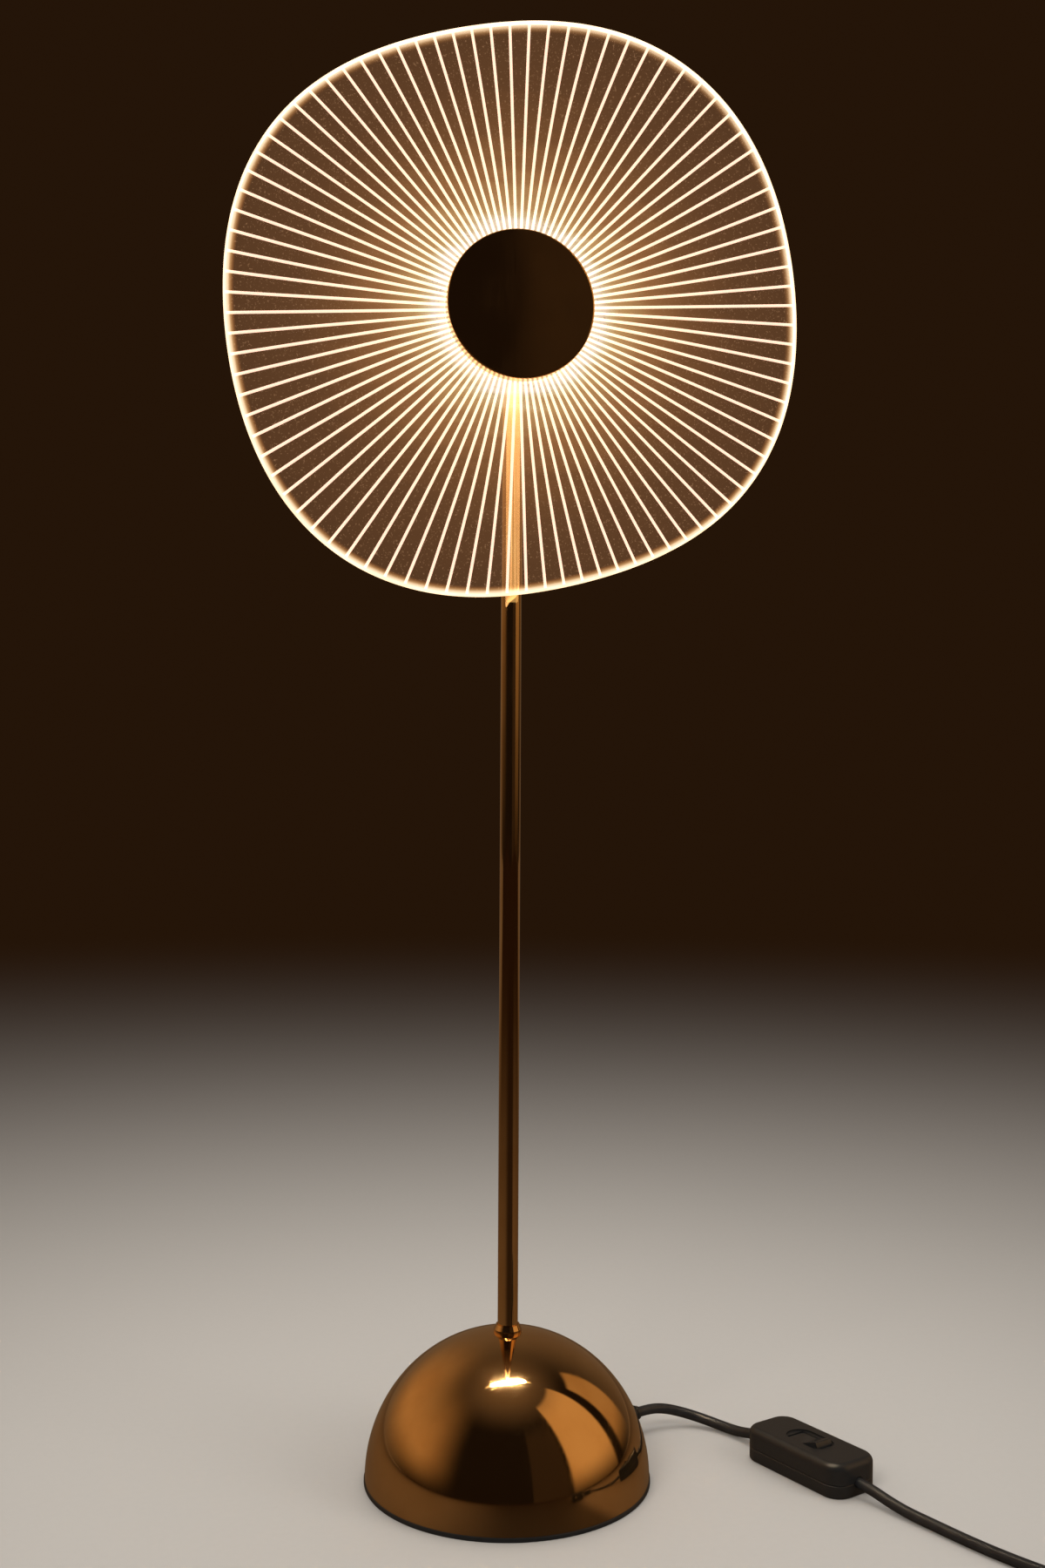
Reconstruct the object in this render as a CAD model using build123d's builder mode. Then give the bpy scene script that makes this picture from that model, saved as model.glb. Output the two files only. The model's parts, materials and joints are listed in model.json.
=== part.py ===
import math
import os

from build123d import *

os.makedirs("parts", exist_ok=True)

# Table lamp: an upright edge-lit acrylic disc on a slim stem, with a weighted half-dome base and a
# cord with an inline rocker switch. Millimetres and degrees. The lamp stands on z = 0 with its stem
# on the Z axis, and the disc faces -Y.

# Shared fits
overrun = 1.0  # how far a cut runs past the face that it opens
slip_gap = 0.2  # room between a piece and the hole that it slides into
thread_gap = 0.1  # room between a screw and its tapped hole
seat_gap = 0.3  # room between pieces that nearly touch

# Machine screws of the base and the head
screw_radius = 1.5
screw_head_radius = 2.8
screw_head_height = 1.8

# Stem
stem_radius = 5.0
stem_wall = 1.0
stem_thread = 1.0  # thread that shows below the clamping nut
collar_radius = 6.9
collar_neck_radius = 5.8
collar_height = 4.0
collar_foot = 1.6
collar_round = 0.5
washer_radius = 10.0
washer_thickness = 1.5
nut_flats = 14.0
nut_height = 5.0

# Half-dome base
dome_radius = 70.0
dome_wall = 1.2
dome_land = 0.4  # flat on top of the dome, past the collar
rim_height = 2.3
rim_width = 10.0
rim_proud = 0.4
rim_round = 0.5
weight_height = 15.0
weight_gap = 0.5
weight_round = 3.0
recess_room = 1.5  # space round and below the nut in the weight's recess
slot_width = 22.0
slot_floor = 2.0
slot_reach = 50.0
cover_thickness = 1.5
cover_screw_reach = 45.0
cover_screw_count = 3
cover_screw_turn = 60.0  # the cover's first screw, counted from the cord's side
cover_screw_length = 8.0

# Cord, and its strain relief at the back of the dome
cord_radius = 2.6
gland_azimuth = 28.5
gland_level = 11.0
gland_hole_radius = 3.9
gland_flange_radius = 6.0
gland_flange = 2.0
gland_root_radius = 4.8
gland_tip_radius = 3.5
gland_length = 18.0
gland_inner = 7.0
gland_nut_radius = 5.6
gland_nut_height = 2.6
gland_lead = 9.0  # the cord runs straight on for this far

# Terminal block and driver inside the dome
block_length = 16.0
block_width = 18.0
block_height = 11.0
block_place = 38.0
block_well_radius = 2.2
block_well_depth = 3.0
block_well_side = 5.5
driver_length = 56.0
driver_width = 26.0
driver_height = 20.0
driver_round = 1.5
driver_space = 8.0
ear_length = 8.0
ear_width = 12.0
ear_height = 2.5
driver_screw_depth = 7.0
lead_radius = 1.0
lead_spread = 1.5
lead_height = 10.0  # of the lamp lead above the weight
lead_hole_gap = 0.6
lead_foot_bend = 3.8
lead_head_bend = 7.0

# Head
hub_height = 572.0
hub_radius = 36.0
disc_offset = 16.0  # from the stem's axis to the disc's middle plane
disc_thickness = 5.0
disc_mean_radius = 142.2
disc_square_share = 0.0258
disc_square_turn = 55.9
disc_oval_share = 0.0286
disc_oval_turn = 37.0
disc_outline_points = 36
disc_chamfer = 1.0
groove_count = 90
groove_width = 1.4
groove_tuck = 2.5  # the grooves start this far under the hub's edge
gasket_thickness = 0.6
gasket_width = 3.6
gasket_inset = 0.4
cap_depth = 6.0
cap_wall = 2.0
cap_round = 1.2
cap_screw_bite = 3.2
housing_back = 11.0  # from the stem's axis to the back of the hub
housing_wall = 2.0
housing_round = 4.0
socket_radius = 8.5
socket_short = 12.0  # the stem ends this far below the hub's centre
socket_top = 2.0
lead_bore_radius = 3.0
pillar_reach = 14.0
pillar_radius = 3.2
pillar_count = 3
pillar_turn = 90.0
grub_radius = 2.0
grub_drop_share = 2 / 3  # of the radius of the hub, below its centre
grub_inset = 0.5
core_radius = 23.0
core_width = 7.0
core_wall = 4.0
core_web = 2.5
strip_thickness = 0.3
strip_width = 5.0
chip_height = 0.8
chip_width = 2.4
chip_length = 3.0
chip_count = 30
chip_gap = 0.5

# Inline switch, lying on the table
switch_x = 149.7
switch_y = -19.9
switch_heading = -65.5
switch_length = 66.0
switch_width = 30.0
switch_height = 16.5
switch_corner = 9.0
switch_wall = 1.8
switch_parting = 6.4  # height of the shells' parting and of the cord's axis
switch_top_round = 3.5
switch_foot_round = 1.2
switch_seam = 0.4  # chamfer of each shell along their parting
cord_entry = 6.0  # how far the cord runs into the switch
cord_approach = 5.0  # how far it runs straight before the switch
dish_length = 27.0
dish_width = 15.0
dish_depth = 0.8
rocker_length = 19.2
rocker_width = 10.2
rocker_gap = 0.3
rocker_slope = 10.0  # each half of the rocker's top rises by this
rocker_pivot = 3.2  # pivot below the switch's top
rocker_crest = 2.2  # middle of the rocker's top above its pivot
rocker_belly = 2.6
rocker_round = 0.8
pin_radius = 1.0
lug_thickness = 2.0
lug_length = 5.0
lug_drop = 2.0
plunger_radius = 1.1
plunger_reach = 7.8
plunger_seat = 1.1
plunger_round = 0.9
arm_length = 16.0
arm_width = 5.0
arm_thickness = 0.8
arm_bend = 6.0
arm_tilt = 8.0
stand_length = 1.0
pad_length = 2.0
strip_metal = 0.8
cage_size = 5.5
cage_place = 17.5
cage_screw_radius = 1.3
cage_screw_head = 2.0
cage_screw_rise = 1.2
cage_screw_depth = 3.0
shell_screw_place = 23.0
shell_screw_side = 9.0
shell_screw_radius = 1.3
shell_screw_head = 2.4
shell_screw_sink = 1.4
shell_screw_bite = 5.0
boss_radius = 3.1
clamp_length = 4.0
clamp_width = 12.0
clamp_cover = 1.6  # of the clamp over the cord
core_wire_radius = 0.9
core_wire_spread = 1.3

# Routes of the cord, from the lamp to the switch and on to the coil
route_to_switch = [
    (94.3, 48.5, 9.6),
    (104.4, 47.8, 6.9),
    (113.9, 43.6, 4.5),
    (121.9, 36.0, 3.1),
    (128.4, 25.8, 3.4),
]
route_to_coil = [
    (173.9, -73.2, 3.2),
    (183.6, -91.8, 2.7),
    (192.6, -110.4, 2.6),
    (203.3, -129.2, 2.6),
    (216.6, -148.6, 2.7),
    (230.4, -167.4, 3.2),
]
bend_share = 0.45

# Routes of the inner leads, in the base and beside the switch's axis
route_in_base = [
    (20.5, 11.6, 10.6),
    (15.0, 13.6, 21.5),
    (4.0, 14.6, 26.0),
]
driver_lead_side = 14.0
driver_lead_straight = 3.0
through_wire_lead = 1.6
through_wire_turn = 22.0
through_wire_side = 4.6

# Put-away coil with its tie, and the plug
coil_start_x = 249.0
coil_start_y = -200.4
coil_heading = -60.0
coil_lead_in = 14.0
coil_inner_radius = 20.8
coil_pitch = 5.7
coil_half_turns_in = 7
coil_tail = 27.0
coil_samples = 24
tie_thickness = 0.8
tie_width = 8.0
tie_gap = 0.3
tie_slack = 1.6
tie_round = 3.0
plug_boot_length = 20.0
plug_boot_root_radius = 5.4
plug_boot_tip_radius = 3.8
plug_shoulder = 13.0
plug_length = 38.0
plug_width = 35.0
plug_grip_width = 27.0
plug_back_width = 13.0
plug_back_height = 11.0
plug_round = 5.0
plug_face_round = 1.2
plug_pin_spacing = 19.0
plug_pin_radius = 2.0
plug_pin_length = 19.0
plug_pin_round = 1.2

# Heights, radii and depths that several pieces share
weight_top = rim_height + weight_height
dome_inner = dome_radius - dome_wall
weight_radius = math.sqrt(dome_inner**2 - weight_height**2) - weight_gap
rim_outer = dome_radius + rim_proud
rim_inner = rim_outer - rim_width
slot_bottom = rim_height + slot_floor
cover_bottom = rim_height - cover_thickness
cover_screw_start = gland_azimuth + cover_screw_turn
recess_depth = washer_thickness + nut_height + stem_thread + recess_room
washer_bottom = rim_height + recess_depth - washer_thickness
nut_bottom = washer_bottom - nut_height
stem_bottom = nut_bottom - stem_thread
stem_top = hub_height - socket_short
stem_hole_radius = stem_radius + slip_gap
land_radius = collar_radius + dome_land
dome_top = rim_height + math.sqrt(dome_radius**2 - land_radius**2)
lead_level = weight_top + lead_height
driver_face = -(stem_radius + driver_space)
driver_x = driver_face - driver_width / 2
ear_y = (driver_length + ear_length) / 2
disc_middle = -disc_offset
disc_back = disc_middle + disc_thickness / 2
disc_front = disc_middle - disc_thickness / 2
disc_hole_radius = core_radius + strip_thickness + chip_height + chip_gap
grub_drop = hub_radius * grub_drop_share
housing_front = disc_back + gasket_thickness
cap_back = disc_front - gasket_thickness
cap_front = cap_back - cap_depth
core_front = disc_middle - core_width / 2
core_back = core_front + core_width
web_back = core_front + core_web


def write(piece, name):
    piece.part.label = name
    export_step(piece.part, f"parts/{name}.step")


def hub_plane(y):
    return Plane(origin=(0, y, hub_height), x_dir=(1, 0, 0), z_dir=(0, -1, 0))


def bend_radii(points):
    radii = []
    for before, here, after in zip(points, points[1:], points[2:]):
        run_in = Vector(here) - Vector(before)
        run_out = Vector(after) - Vector(here)
        half_turn = math.radians(run_in.get_angle(run_out)) / 2
        radii.append(bend_share * min(run_in.length, run_out.length) / math.tan(half_turn))
    return radii


def start_plane(path):
    return Plane(origin=path @ 0, z_dir=path % 0)


def tell_tube(name, piece, path, radius):
    ratio = piece.part.volume / (math.pi * radius**2 * path.length)
    print(f"{name}: {path.length:.1f} long, volume over section times length {ratio:.5f}")


# Half dome: a thin shell with a small flat for the collar and a hole for the strain relief
azimuth = math.radians(gland_azimuth)
gland_way = Vector(math.cos(azimuth), math.sin(azimuth), 0)
gland_side = Vector(-math.sin(azimuth), math.cos(azimuth), 0)
gland_plane = Plane(origin=(0, 0, gland_level), x_dir=gland_side, z_dir=gland_way)

with BuildPart() as dome_shell:
    with BuildSketch(Plane.XZ):
        with BuildLine():
            outer_sweep = math.degrees(math.acos(land_radius / dome_radius))
            inner_sweep = math.degrees(math.asin((dome_top - dome_wall - rim_height) / dome_inner))
            outer = CenterArc((0, rim_height), dome_radius, 0, outer_sweep)
            inner = CenterArc((0, rim_height), dome_inner, 0, inner_sweep)
            Line(outer @ 0, inner @ 0)
            Polyline(
                outer @ 1,
                (stem_hole_radius, dome_top),
                (stem_hole_radius, dome_top - dome_wall),
                inner @ 1,
            )
        make_face()
    revolve(axis=Axis.Z)
    with BuildSketch(gland_plane):
        Circle(gland_hole_radius)
    extrude(amount=dome_radius + overrun, mode=Mode.SUBTRACT)
write(dome_shell, "dome_shell")

# Rubber edge ring that the dome and the weight stand on
with BuildPart() as rim_ring:
    with BuildSketch():
        Circle(rim_outer)
        Circle(rim_inner, mode=Mode.SUBTRACT)
    extrude(amount=rim_height)
    fillet(rim_ring.edges().filter_by(GeomType.CIRCLE).group_by(SortBy.RADIUS)[-1], rim_round)
write(rim_ring, "rim_ring")

# Cast weight: centred by the dome, with a nut recess below and a slot for the cord entry
slot_plane = Plane(origin=(0, 0, slot_bottom), x_dir=gland_way, z_dir=(0, 0, 1))

with BuildPart() as base_weight:
    with BuildSketch(Plane.XY.offset(rim_height)):
        Circle(weight_radius)
    extrude(amount=weight_height)
    fillet(base_weight.edges().sort_by(Axis.Z)[-1], weight_round)
    with BuildSketch(Plane.XY.offset(rim_height)):
        Circle(washer_radius + recess_room)
    extrude(amount=recess_depth, mode=Mode.SUBTRACT)
    with BuildSketch(Plane.XY.offset(rim_height)):
        Circle(stem_hole_radius)
    extrude(amount=weight_height + overrun, mode=Mode.SUBTRACT)
    with BuildSketch(slot_plane):
        with Locations((weight_radius + overrun, 0)):
            Rectangle(slot_reach + overrun, slot_width, align=(Align.MAX, Align.CENTER))
    extrude(amount=weight_height, mode=Mode.SUBTRACT)
    with BuildSketch(slot_plane):
        with Locations((block_place, 0)):
            Circle(screw_radius + thread_gap)
    extrude(amount=-(slot_floor + overrun), mode=Mode.SUBTRACT)
    with BuildSketch(Plane.XY.offset(rim_height)):
        with PolarLocations(cover_screw_reach, cover_screw_count, start_angle=cover_screw_start):
            Circle(screw_radius + thread_gap)
    extrude(amount=cover_screw_length, mode=Mode.SUBTRACT)
    with BuildSketch(Plane.XY.offset(weight_top)):
        with Locations((driver_x, ear_y), (driver_x, -ear_y)):
            Circle(screw_radius + thread_gap)
    extrude(amount=-(driver_screw_depth + overrun), mode=Mode.SUBTRACT)
write(base_weight, "base_weight")

# Thin cover under the weight, held by countersunk screws
with BuildPart(Plane.XY.offset(cover_bottom)) as bottom_cover:
    with BuildSketch(Plane.XY.offset(cover_bottom)):
        Circle(rim_inner - seat_gap)
    extrude(amount=cover_thickness)
    with PolarLocations(cover_screw_reach, cover_screw_count, start_angle=cover_screw_start):
        Cone(
            screw_head_radius + slip_gap,
            screw_radius + slip_gap,
            cover_thickness,
            align=(Align.CENTER, Align.CENTER, Align.MIN),
            mode=Mode.SUBTRACT,
        )
write(bottom_cover, "bottom_cover")

with BuildPart(Plane.XY.offset(cover_bottom)) as cover_screws:
    with PolarLocations(cover_screw_reach, cover_screw_count, start_angle=cover_screw_start):
        Cone(
            screw_head_radius,
            screw_radius,
            cover_thickness,
            align=(Align.CENTER, Align.CENTER, Align.MIN),
        )
        Cylinder(screw_radius, cover_screw_length, align=(Align.CENTER, Align.CENTER, Align.MIN))
write(cover_screws, "cover_screws")

# Washer and nut that pull the stem down under the weight
with BuildPart() as stem_washer:
    with BuildSketch(Plane.XY.offset(washer_bottom)):
        Circle(washer_radius)
        Circle(stem_hole_radius, mode=Mode.SUBTRACT)
    extrude(amount=washer_thickness)
write(stem_washer, "stem_washer")

with BuildPart() as stem_nut:
    with BuildSketch(Plane.XY.offset(nut_bottom)):
        RegularPolygon(nut_flats / 2, 6, major_radius=False)
        Circle(stem_radius + thread_gap, mode=Mode.SUBTRACT)
    extrude(amount=nut_height)
write(stem_nut, "stem_nut")

# Flared collar at the stem's foot
with BuildPart() as collar:
    with BuildSketch(Plane.XZ):
        with BuildLine():
            Polyline(
                (stem_radius + thread_gap, dome_top),
                (collar_radius, dome_top),
                (collar_radius, dome_top + collar_foot),
                (collar_neck_radius, dome_top + collar_height),
                (stem_radius + thread_gap, dome_top + collar_height),
                close=True,
            )
        make_face()
    revolve(axis=Axis.Z)
    shoulder = collar.edges().filter_by_position(Axis.Z, dome_top + collar_foot, dome_top + collar_foot)
    fillet(shoulder, collar_round)
write(collar, "collar")

# Stem with a side hole for the lamp lead
with BuildPart() as stem_tube:
    with BuildSketch(Plane.XY.offset(stem_bottom)):
        Circle(stem_radius)
        Circle(stem_radius - stem_wall, mode=Mode.SUBTRACT)
    extrude(amount=stem_top - stem_bottom)
    with BuildSketch(Plane.YZ):
        with Locations((0, lead_level)):
            Circle(lead_radius + lead_hole_gap)
    extrude(amount=-(stem_radius + overrun), mode=Mode.SUBTRACT)
write(stem_tube, "stem_tube")

# Strain relief: a flange that follows the dome, a tapered sleeve outside and a neck with a nut inside
gland_neck_radius = gland_hole_radius - slip_gap
gland_seat = math.sqrt(dome_radius**2 - (gland_level - rim_height) ** 2)
gland_end = gland_seat + gland_length
gland_back = gland_seat - gland_inner

with BuildPart(gland_plane) as cord_gland:
    with BuildSketch(gland_plane.offset(gland_back)):
        Circle(gland_flange_radius)
    extrude(amount=gland_inner + gland_flange)
    with Locations(gland_plane.to_local_coords(Vector(0, 0, rim_height))):
        Sphere(dome_radius, mode=Mode.SUBTRACT)
    with BuildSketch(gland_plane.offset(gland_back)):
        Circle(gland_neck_radius)
    extrude(amount=gland_inner + gland_flange)
    with BuildSketch(gland_plane.offset(gland_seat + gland_flange)):
        Circle(gland_root_radius)
    with BuildSketch(gland_plane.offset(gland_end)):
        Circle(gland_tip_radius)
    loft()
write(cord_gland, "cord_gland")

with BuildPart(gland_plane) as gland_nut:
    with BuildSketch(gland_plane.offset(gland_back + gland_inner / 2 - gland_nut_height / 2)):
        Circle(gland_nut_radius)
        Circle(gland_neck_radius + thread_gap, mode=Mode.SUBTRACT)
    extrude(amount=gland_inner)
    with Locations(gland_plane.to_local_coords(Vector(0, 0, rim_height))):
        Sphere(dome_inner, mode=Mode.INTERSECT)
write(gland_nut, "gland_nut")

# Cord end inside the base and the terminal block that it reaches
block_face = block_place + block_length / 2

with BuildPart() as inner_cord:
    with BuildSketch(gland_plane.offset(block_face)):
        Circle(cord_radius)
    extrude(amount=gland_back - block_face)
write(inner_cord, "inner_cord")

with BuildPart() as terminal_block:
    with BuildSketch(slot_plane):
        with Locations((block_place, 0)):
            Rectangle(block_length, block_width)
            Circle(screw_radius + slip_gap, mode=Mode.SUBTRACT)
    extrude(amount=block_height)
    with BuildSketch(slot_plane.offset(block_height)):
        with Locations((block_place, block_well_side), (block_place, -block_well_side)):
            Circle(block_well_radius)
    extrude(amount=-block_well_depth, mode=Mode.SUBTRACT)
write(terminal_block, "terminal_block")

with BuildPart(slot_plane) as block_screw:
    with BuildSketch(slot_plane.offset(block_height)):
        with Locations((block_place, 0)):
            Circle(screw_head_radius)
    extrude(amount=screw_head_height)
    with BuildSketch(slot_plane.offset(block_height)):
        with Locations((block_place, 0)):
            Circle(screw_radius)
    extrude(amount=-(block_height + slot_floor))
write(block_screw, "block_screw")

# Driver with two screwed ears, standing on the weight
with BuildPart() as led_driver:
    with BuildSketch(Plane.XY.offset(weight_top)):
        with Locations((driver_x, 0)):
            Rectangle(driver_width, driver_length)
    extrude(amount=driver_height)
    fillet(led_driver.edges().filter_by(Axis.Z), driver_round)
    fillet(led_driver.edges().group_by(Axis.Z)[-1], driver_round / 2)
    with BuildSketch(Plane.XY.offset(weight_top)):
        with Locations((driver_x, ear_y), (driver_x, -ear_y)):
            Rectangle(ear_width, ear_length)
            Circle(screw_radius + slip_gap, mode=Mode.SUBTRACT)
    extrude(amount=ear_height)
write(led_driver, "led_driver")

with BuildPart() as driver_screws:
    with BuildSketch(Plane.XY.offset(weight_top + ear_height)):
        with Locations((driver_x, ear_y), (driver_x, -ear_y)):
            Circle(screw_head_radius)
    extrude(amount=screw_head_height)
    with BuildSketch(Plane.XY.offset(weight_top + ear_height)):
        with Locations((driver_x, ear_y), (driver_x, -ear_y)):
            Circle(screw_radius)
    extrude(amount=-(ear_height + driver_screw_depth))
write(driver_screws, "driver_screws")

# Two mains leads from the terminal block over the weight to the driver
lead_start = gland_way * (block_place - block_length / 2) + Vector(0, 0, slot_bottom + block_height / 2)
lead_end = Vector(driver_face, driver_lead_side, lead_level)

with BuildPart() as driver_leads:
    for spread in (-lead_spread, lead_spread):
        block_end = lead_start + gland_side * spread
        driver_end = lead_end + Vector(0, spread, 0)
        stops = [
            block_end,
            block_end - gland_way * driver_lead_straight,
            *(Vector(stop) + Vector(0, spread, 0) for stop in route_in_base),
            driver_end + Vector(driver_lead_straight, 0, 0),
            driver_end,
        ]
        with BuildLine() as lead_path:
            FilletPolyline(*stops, radius=bend_radii(stops))
        with BuildSketch(start_plane(lead_path.line)):
            Circle(lead_radius)
        sweep()
write(driver_leads, "driver_leads")

# Lamp lead: from the driver into the stem, up, and forward to the light source
with BuildPart() as lamp_lead:
    with BuildLine() as lead_path:
        FilletPolyline(
            (driver_face, 0, lead_level),
            (0, 0, lead_level),
            (0, 0, hub_height),
            (0, web_back, hub_height),
            radius=[lead_foot_bend, lead_head_bend],
        )
    with BuildSketch(start_plane(lead_path.line)):
        Circle(lead_radius)
    sweep()
write(lamp_lead, "lamp_lead")

# Rear half of the hub: a cup with the stem's socket and three pillars
with BuildPart() as rear_housing:
    with BuildSketch(hub_plane(housing_back)):
        Circle(hub_radius)
    extrude(amount=housing_back - housing_front)
    with BuildSketch(hub_plane(housing_back - housing_wall)):
        Circle(hub_radius - housing_wall)
    extrude(amount=housing_back - housing_front, mode=Mode.SUBTRACT)
    with BuildSketch(Plane.XY.offset(hub_height - hub_radius)):
        Circle(socket_radius)
        Rectangle(2 * socket_radius, housing_back, align=(Align.CENTER, Align.MIN))
    extrude(amount=hub_radius - socket_short + socket_top)
    with BuildSketch(hub_plane(housing_back)):
        with PolarLocations(pillar_reach, pillar_count, start_angle=pillar_turn):
            Circle(pillar_radius)
    extrude(amount=housing_back - web_back)
    with BuildSketch(hub_plane(housing_back)):
        Circle(hub_radius)
    extrude(amount=housing_back - web_back, mode=Mode.INTERSECT)
    fillet(rear_housing.edges().sort_by(Axis.Y)[-1], housing_round)
    with BuildSketch(Plane.XY.offset(hub_height - hub_radius - overrun)):
        Circle(stem_hole_radius)
    extrude(amount=hub_radius + overrun - socket_short, mode=Mode.SUBTRACT)
    with BuildSketch(Plane.XY.offset(stem_top)):
        Circle(lead_bore_radius)
    extrude(amount=socket_top + overrun, mode=Mode.SUBTRACT)
    with BuildSketch(hub_plane(housing_back + overrun)):
        with PolarLocations(pillar_reach, pillar_count, start_angle=pillar_turn):
            Circle(screw_radius + slip_gap)
    extrude(amount=housing_back - web_back + 2 * overrun, mode=Mode.SUBTRACT)
    with BuildSketch(hub_plane(housing_back + overrun)):
        with Locations((0, -grub_drop)):
            Circle(grub_radius + thread_gap)
    extrude(amount=housing_back + overrun, mode=Mode.SUBTRACT)
write(rear_housing, "rear_housing")

with BuildPart() as grub_screw:
    with BuildSketch(hub_plane(housing_back - grub_inset)):
        with Locations((0, -grub_drop)):
            Circle(grub_radius)
    extrude(amount=housing_back - grub_inset - stem_radius)
write(grub_screw, "grub_screw")

# Light source: a drum with a web, a flexible strip round it and the chips that face the disc's bore
with BuildPart() as led_core:
    with BuildSketch(hub_plane(core_back)):
        Circle(core_radius)
    extrude(amount=core_width)
    with BuildSketch(hub_plane(core_back)):
        Circle(core_radius - core_wall)
    extrude(amount=core_width - core_web, mode=Mode.SUBTRACT)
    with BuildSketch(hub_plane(core_back)):
        with PolarLocations(pillar_reach, pillar_count, start_angle=pillar_turn):
            Circle(screw_radius + slip_gap)
    extrude(amount=core_width + overrun, mode=Mode.SUBTRACT)
write(led_core, "led_core")

with BuildPart() as led_strip:
    with BuildSketch(hub_plane(disc_middle + strip_width / 2)):
        Circle(core_radius + strip_thickness)
        Circle(core_radius, mode=Mode.SUBTRACT)
    extrude(amount=strip_width)
write(led_strip, "led_strip")

with BuildPart(hub_plane(disc_middle)) as led_chips:
    with PolarLocations(core_radius + strip_thickness, chip_count):
        Box(chip_height, chip_width, chip_length, align=(Align.MIN, Align.CENTER, Align.CENTER))
write(led_chips, "led_chips")


# Clear disc: a rounded square, drawn out along one diagonal, with V-grooves from the hub to the edge
def outline_radius(turn):
    square = disc_square_share * math.cos(4 * math.radians(turn - disc_square_turn))
    oval = disc_oval_share * math.cos(2 * math.radians(turn - disc_oval_turn))
    return disc_mean_radius * (1 + square + oval)


outline = []
for step in range(disc_outline_points):
    turn = 360 * step / disc_outline_points
    reach = outline_radius(turn)
    outline.append((reach * math.cos(math.radians(turn)), reach * math.sin(math.radians(turn))))
groove_start = hub_radius - groove_tuck
groove_side = groove_width / math.sqrt(2)

with BuildPart(hub_plane(disc_back)) as light_disc:
    with BuildSketch(hub_plane(disc_back)):
        with BuildLine():
            Spline(*outline, periodic=True)
        make_face()
        Circle(disc_hole_radius, mode=Mode.SUBTRACT)
    extrude(amount=disc_thickness)
    chamfer(light_disc.edges().filter_by(GeomType.BSPLINE), disc_chamfer)
    with PolarLocations(groove_start, groove_count):
        Box(
            disc_mean_radius,
            groove_side,
            groove_side,
            rotation=(45, 0, 0),
            align=(Align.MIN, Align.CENTER, Align.CENTER),
            mode=Mode.SUBTRACT,
        )
write(light_disc, "light_disc")

# Two rings that the disc is clamped between
with BuildPart() as disc_gaskets:
    for back in (disc_front, housing_front):
        with BuildSketch(hub_plane(back)):
            Circle(hub_radius - gasket_inset)
            Circle(hub_radius - gasket_inset - gasket_width, mode=Mode.SUBTRACT)
        extrude(amount=gasket_thickness)
write(disc_gaskets, "disc_gaskets")

# Front cap: a shallow cup with blind tapped bosses
with BuildPart() as front_cap:
    with BuildSketch(hub_plane(cap_back)):
        Circle(hub_radius)
    extrude(amount=cap_depth)
    fillet(front_cap.edges().sort_by(Axis.Y)[0], cap_round)
    with BuildSketch(hub_plane(cap_back)):
        Circle(hub_radius - cap_wall)
    extrude(amount=cap_depth - cap_wall, mode=Mode.SUBTRACT)
    with BuildSketch(hub_plane(core_front)):
        with PolarLocations(pillar_reach, pillar_count, start_angle=pillar_turn):
            Circle(pillar_radius)
    extrude(amount=core_front - cap_front - cap_wall / 2)
    with BuildSketch(hub_plane(core_front)):
        with PolarLocations(pillar_reach, pillar_count, start_angle=pillar_turn):
            Circle(screw_radius + thread_gap)
    extrude(amount=cap_screw_bite + seat_gap, mode=Mode.SUBTRACT)
write(front_cap, "front_cap")

with BuildPart() as cap_screws:
    with BuildSketch(hub_plane(housing_back + screw_head_height)):
        with PolarLocations(pillar_reach, pillar_count, start_angle=pillar_turn):
            Circle(screw_head_radius)
    extrude(amount=screw_head_height)
    with BuildSketch(hub_plane(housing_back)):
        with PolarLocations(pillar_reach, pillar_count, start_angle=pillar_turn):
            Circle(screw_radius)
    extrude(amount=housing_back - core_front + cap_screw_bite)
write(cap_screws, "cap_screws")

# Inline switch: its frame runs along the cord
switch_turn = math.radians(switch_heading)
switch_along = Vector(math.cos(switch_turn), math.sin(switch_turn), 0)
switch_across = Vector(-math.sin(switch_turn), math.cos(switch_turn), 0)
switch_foot = Vector(switch_x, switch_y, 0)


def switch_plane(z):
    return Plane(origin=switch_foot + Vector(0, 0, z), x_dir=switch_along, z_dir=(0, 0, 1))


def side_plane(z, tilt):
    turn = math.radians(tilt)
    uphill = switch_along * math.cos(turn) + Vector(0, 0, math.sin(turn))
    return Plane(origin=switch_foot + Vector(0, 0, z), x_dir=uphill, z_dir=-switch_across)


def shell_outline():
    RectangleRounded(switch_length, switch_width, switch_corner)


def shell_cavity():
    length = switch_length - 2 * switch_wall
    width = switch_width - 2 * switch_wall
    RectangleRounded(length, width, switch_corner - switch_wall)


switch_ceiling = switch_height - switch_wall
entry_plane = Plane(
    origin=switch_foot + Vector(0, 0, switch_parting), x_dir=switch_across, z_dir=switch_along
)
shell_screw_spots = [(shell_screw_place, shell_screw_side), (-shell_screw_place, -shell_screw_side)]
pivot_level = switch_height - rocker_pivot
rocker_plane = side_plane(pivot_level, rocker_slope)
rocker_end = rocker_length / 2
rocker_rise = rocker_crest + rocker_end * math.tan(math.radians(rocker_slope))
rocker_swing = math.hypot(rocker_end, rocker_rise)
belly_end = math.sqrt(rocker_swing**2 - rocker_belly**2)
window_length = 2 * (rocker_swing + rocker_gap)
window_width = rocker_width + 2 * rocker_gap
pin_half_length = window_width / 2 + lug_thickness

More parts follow.
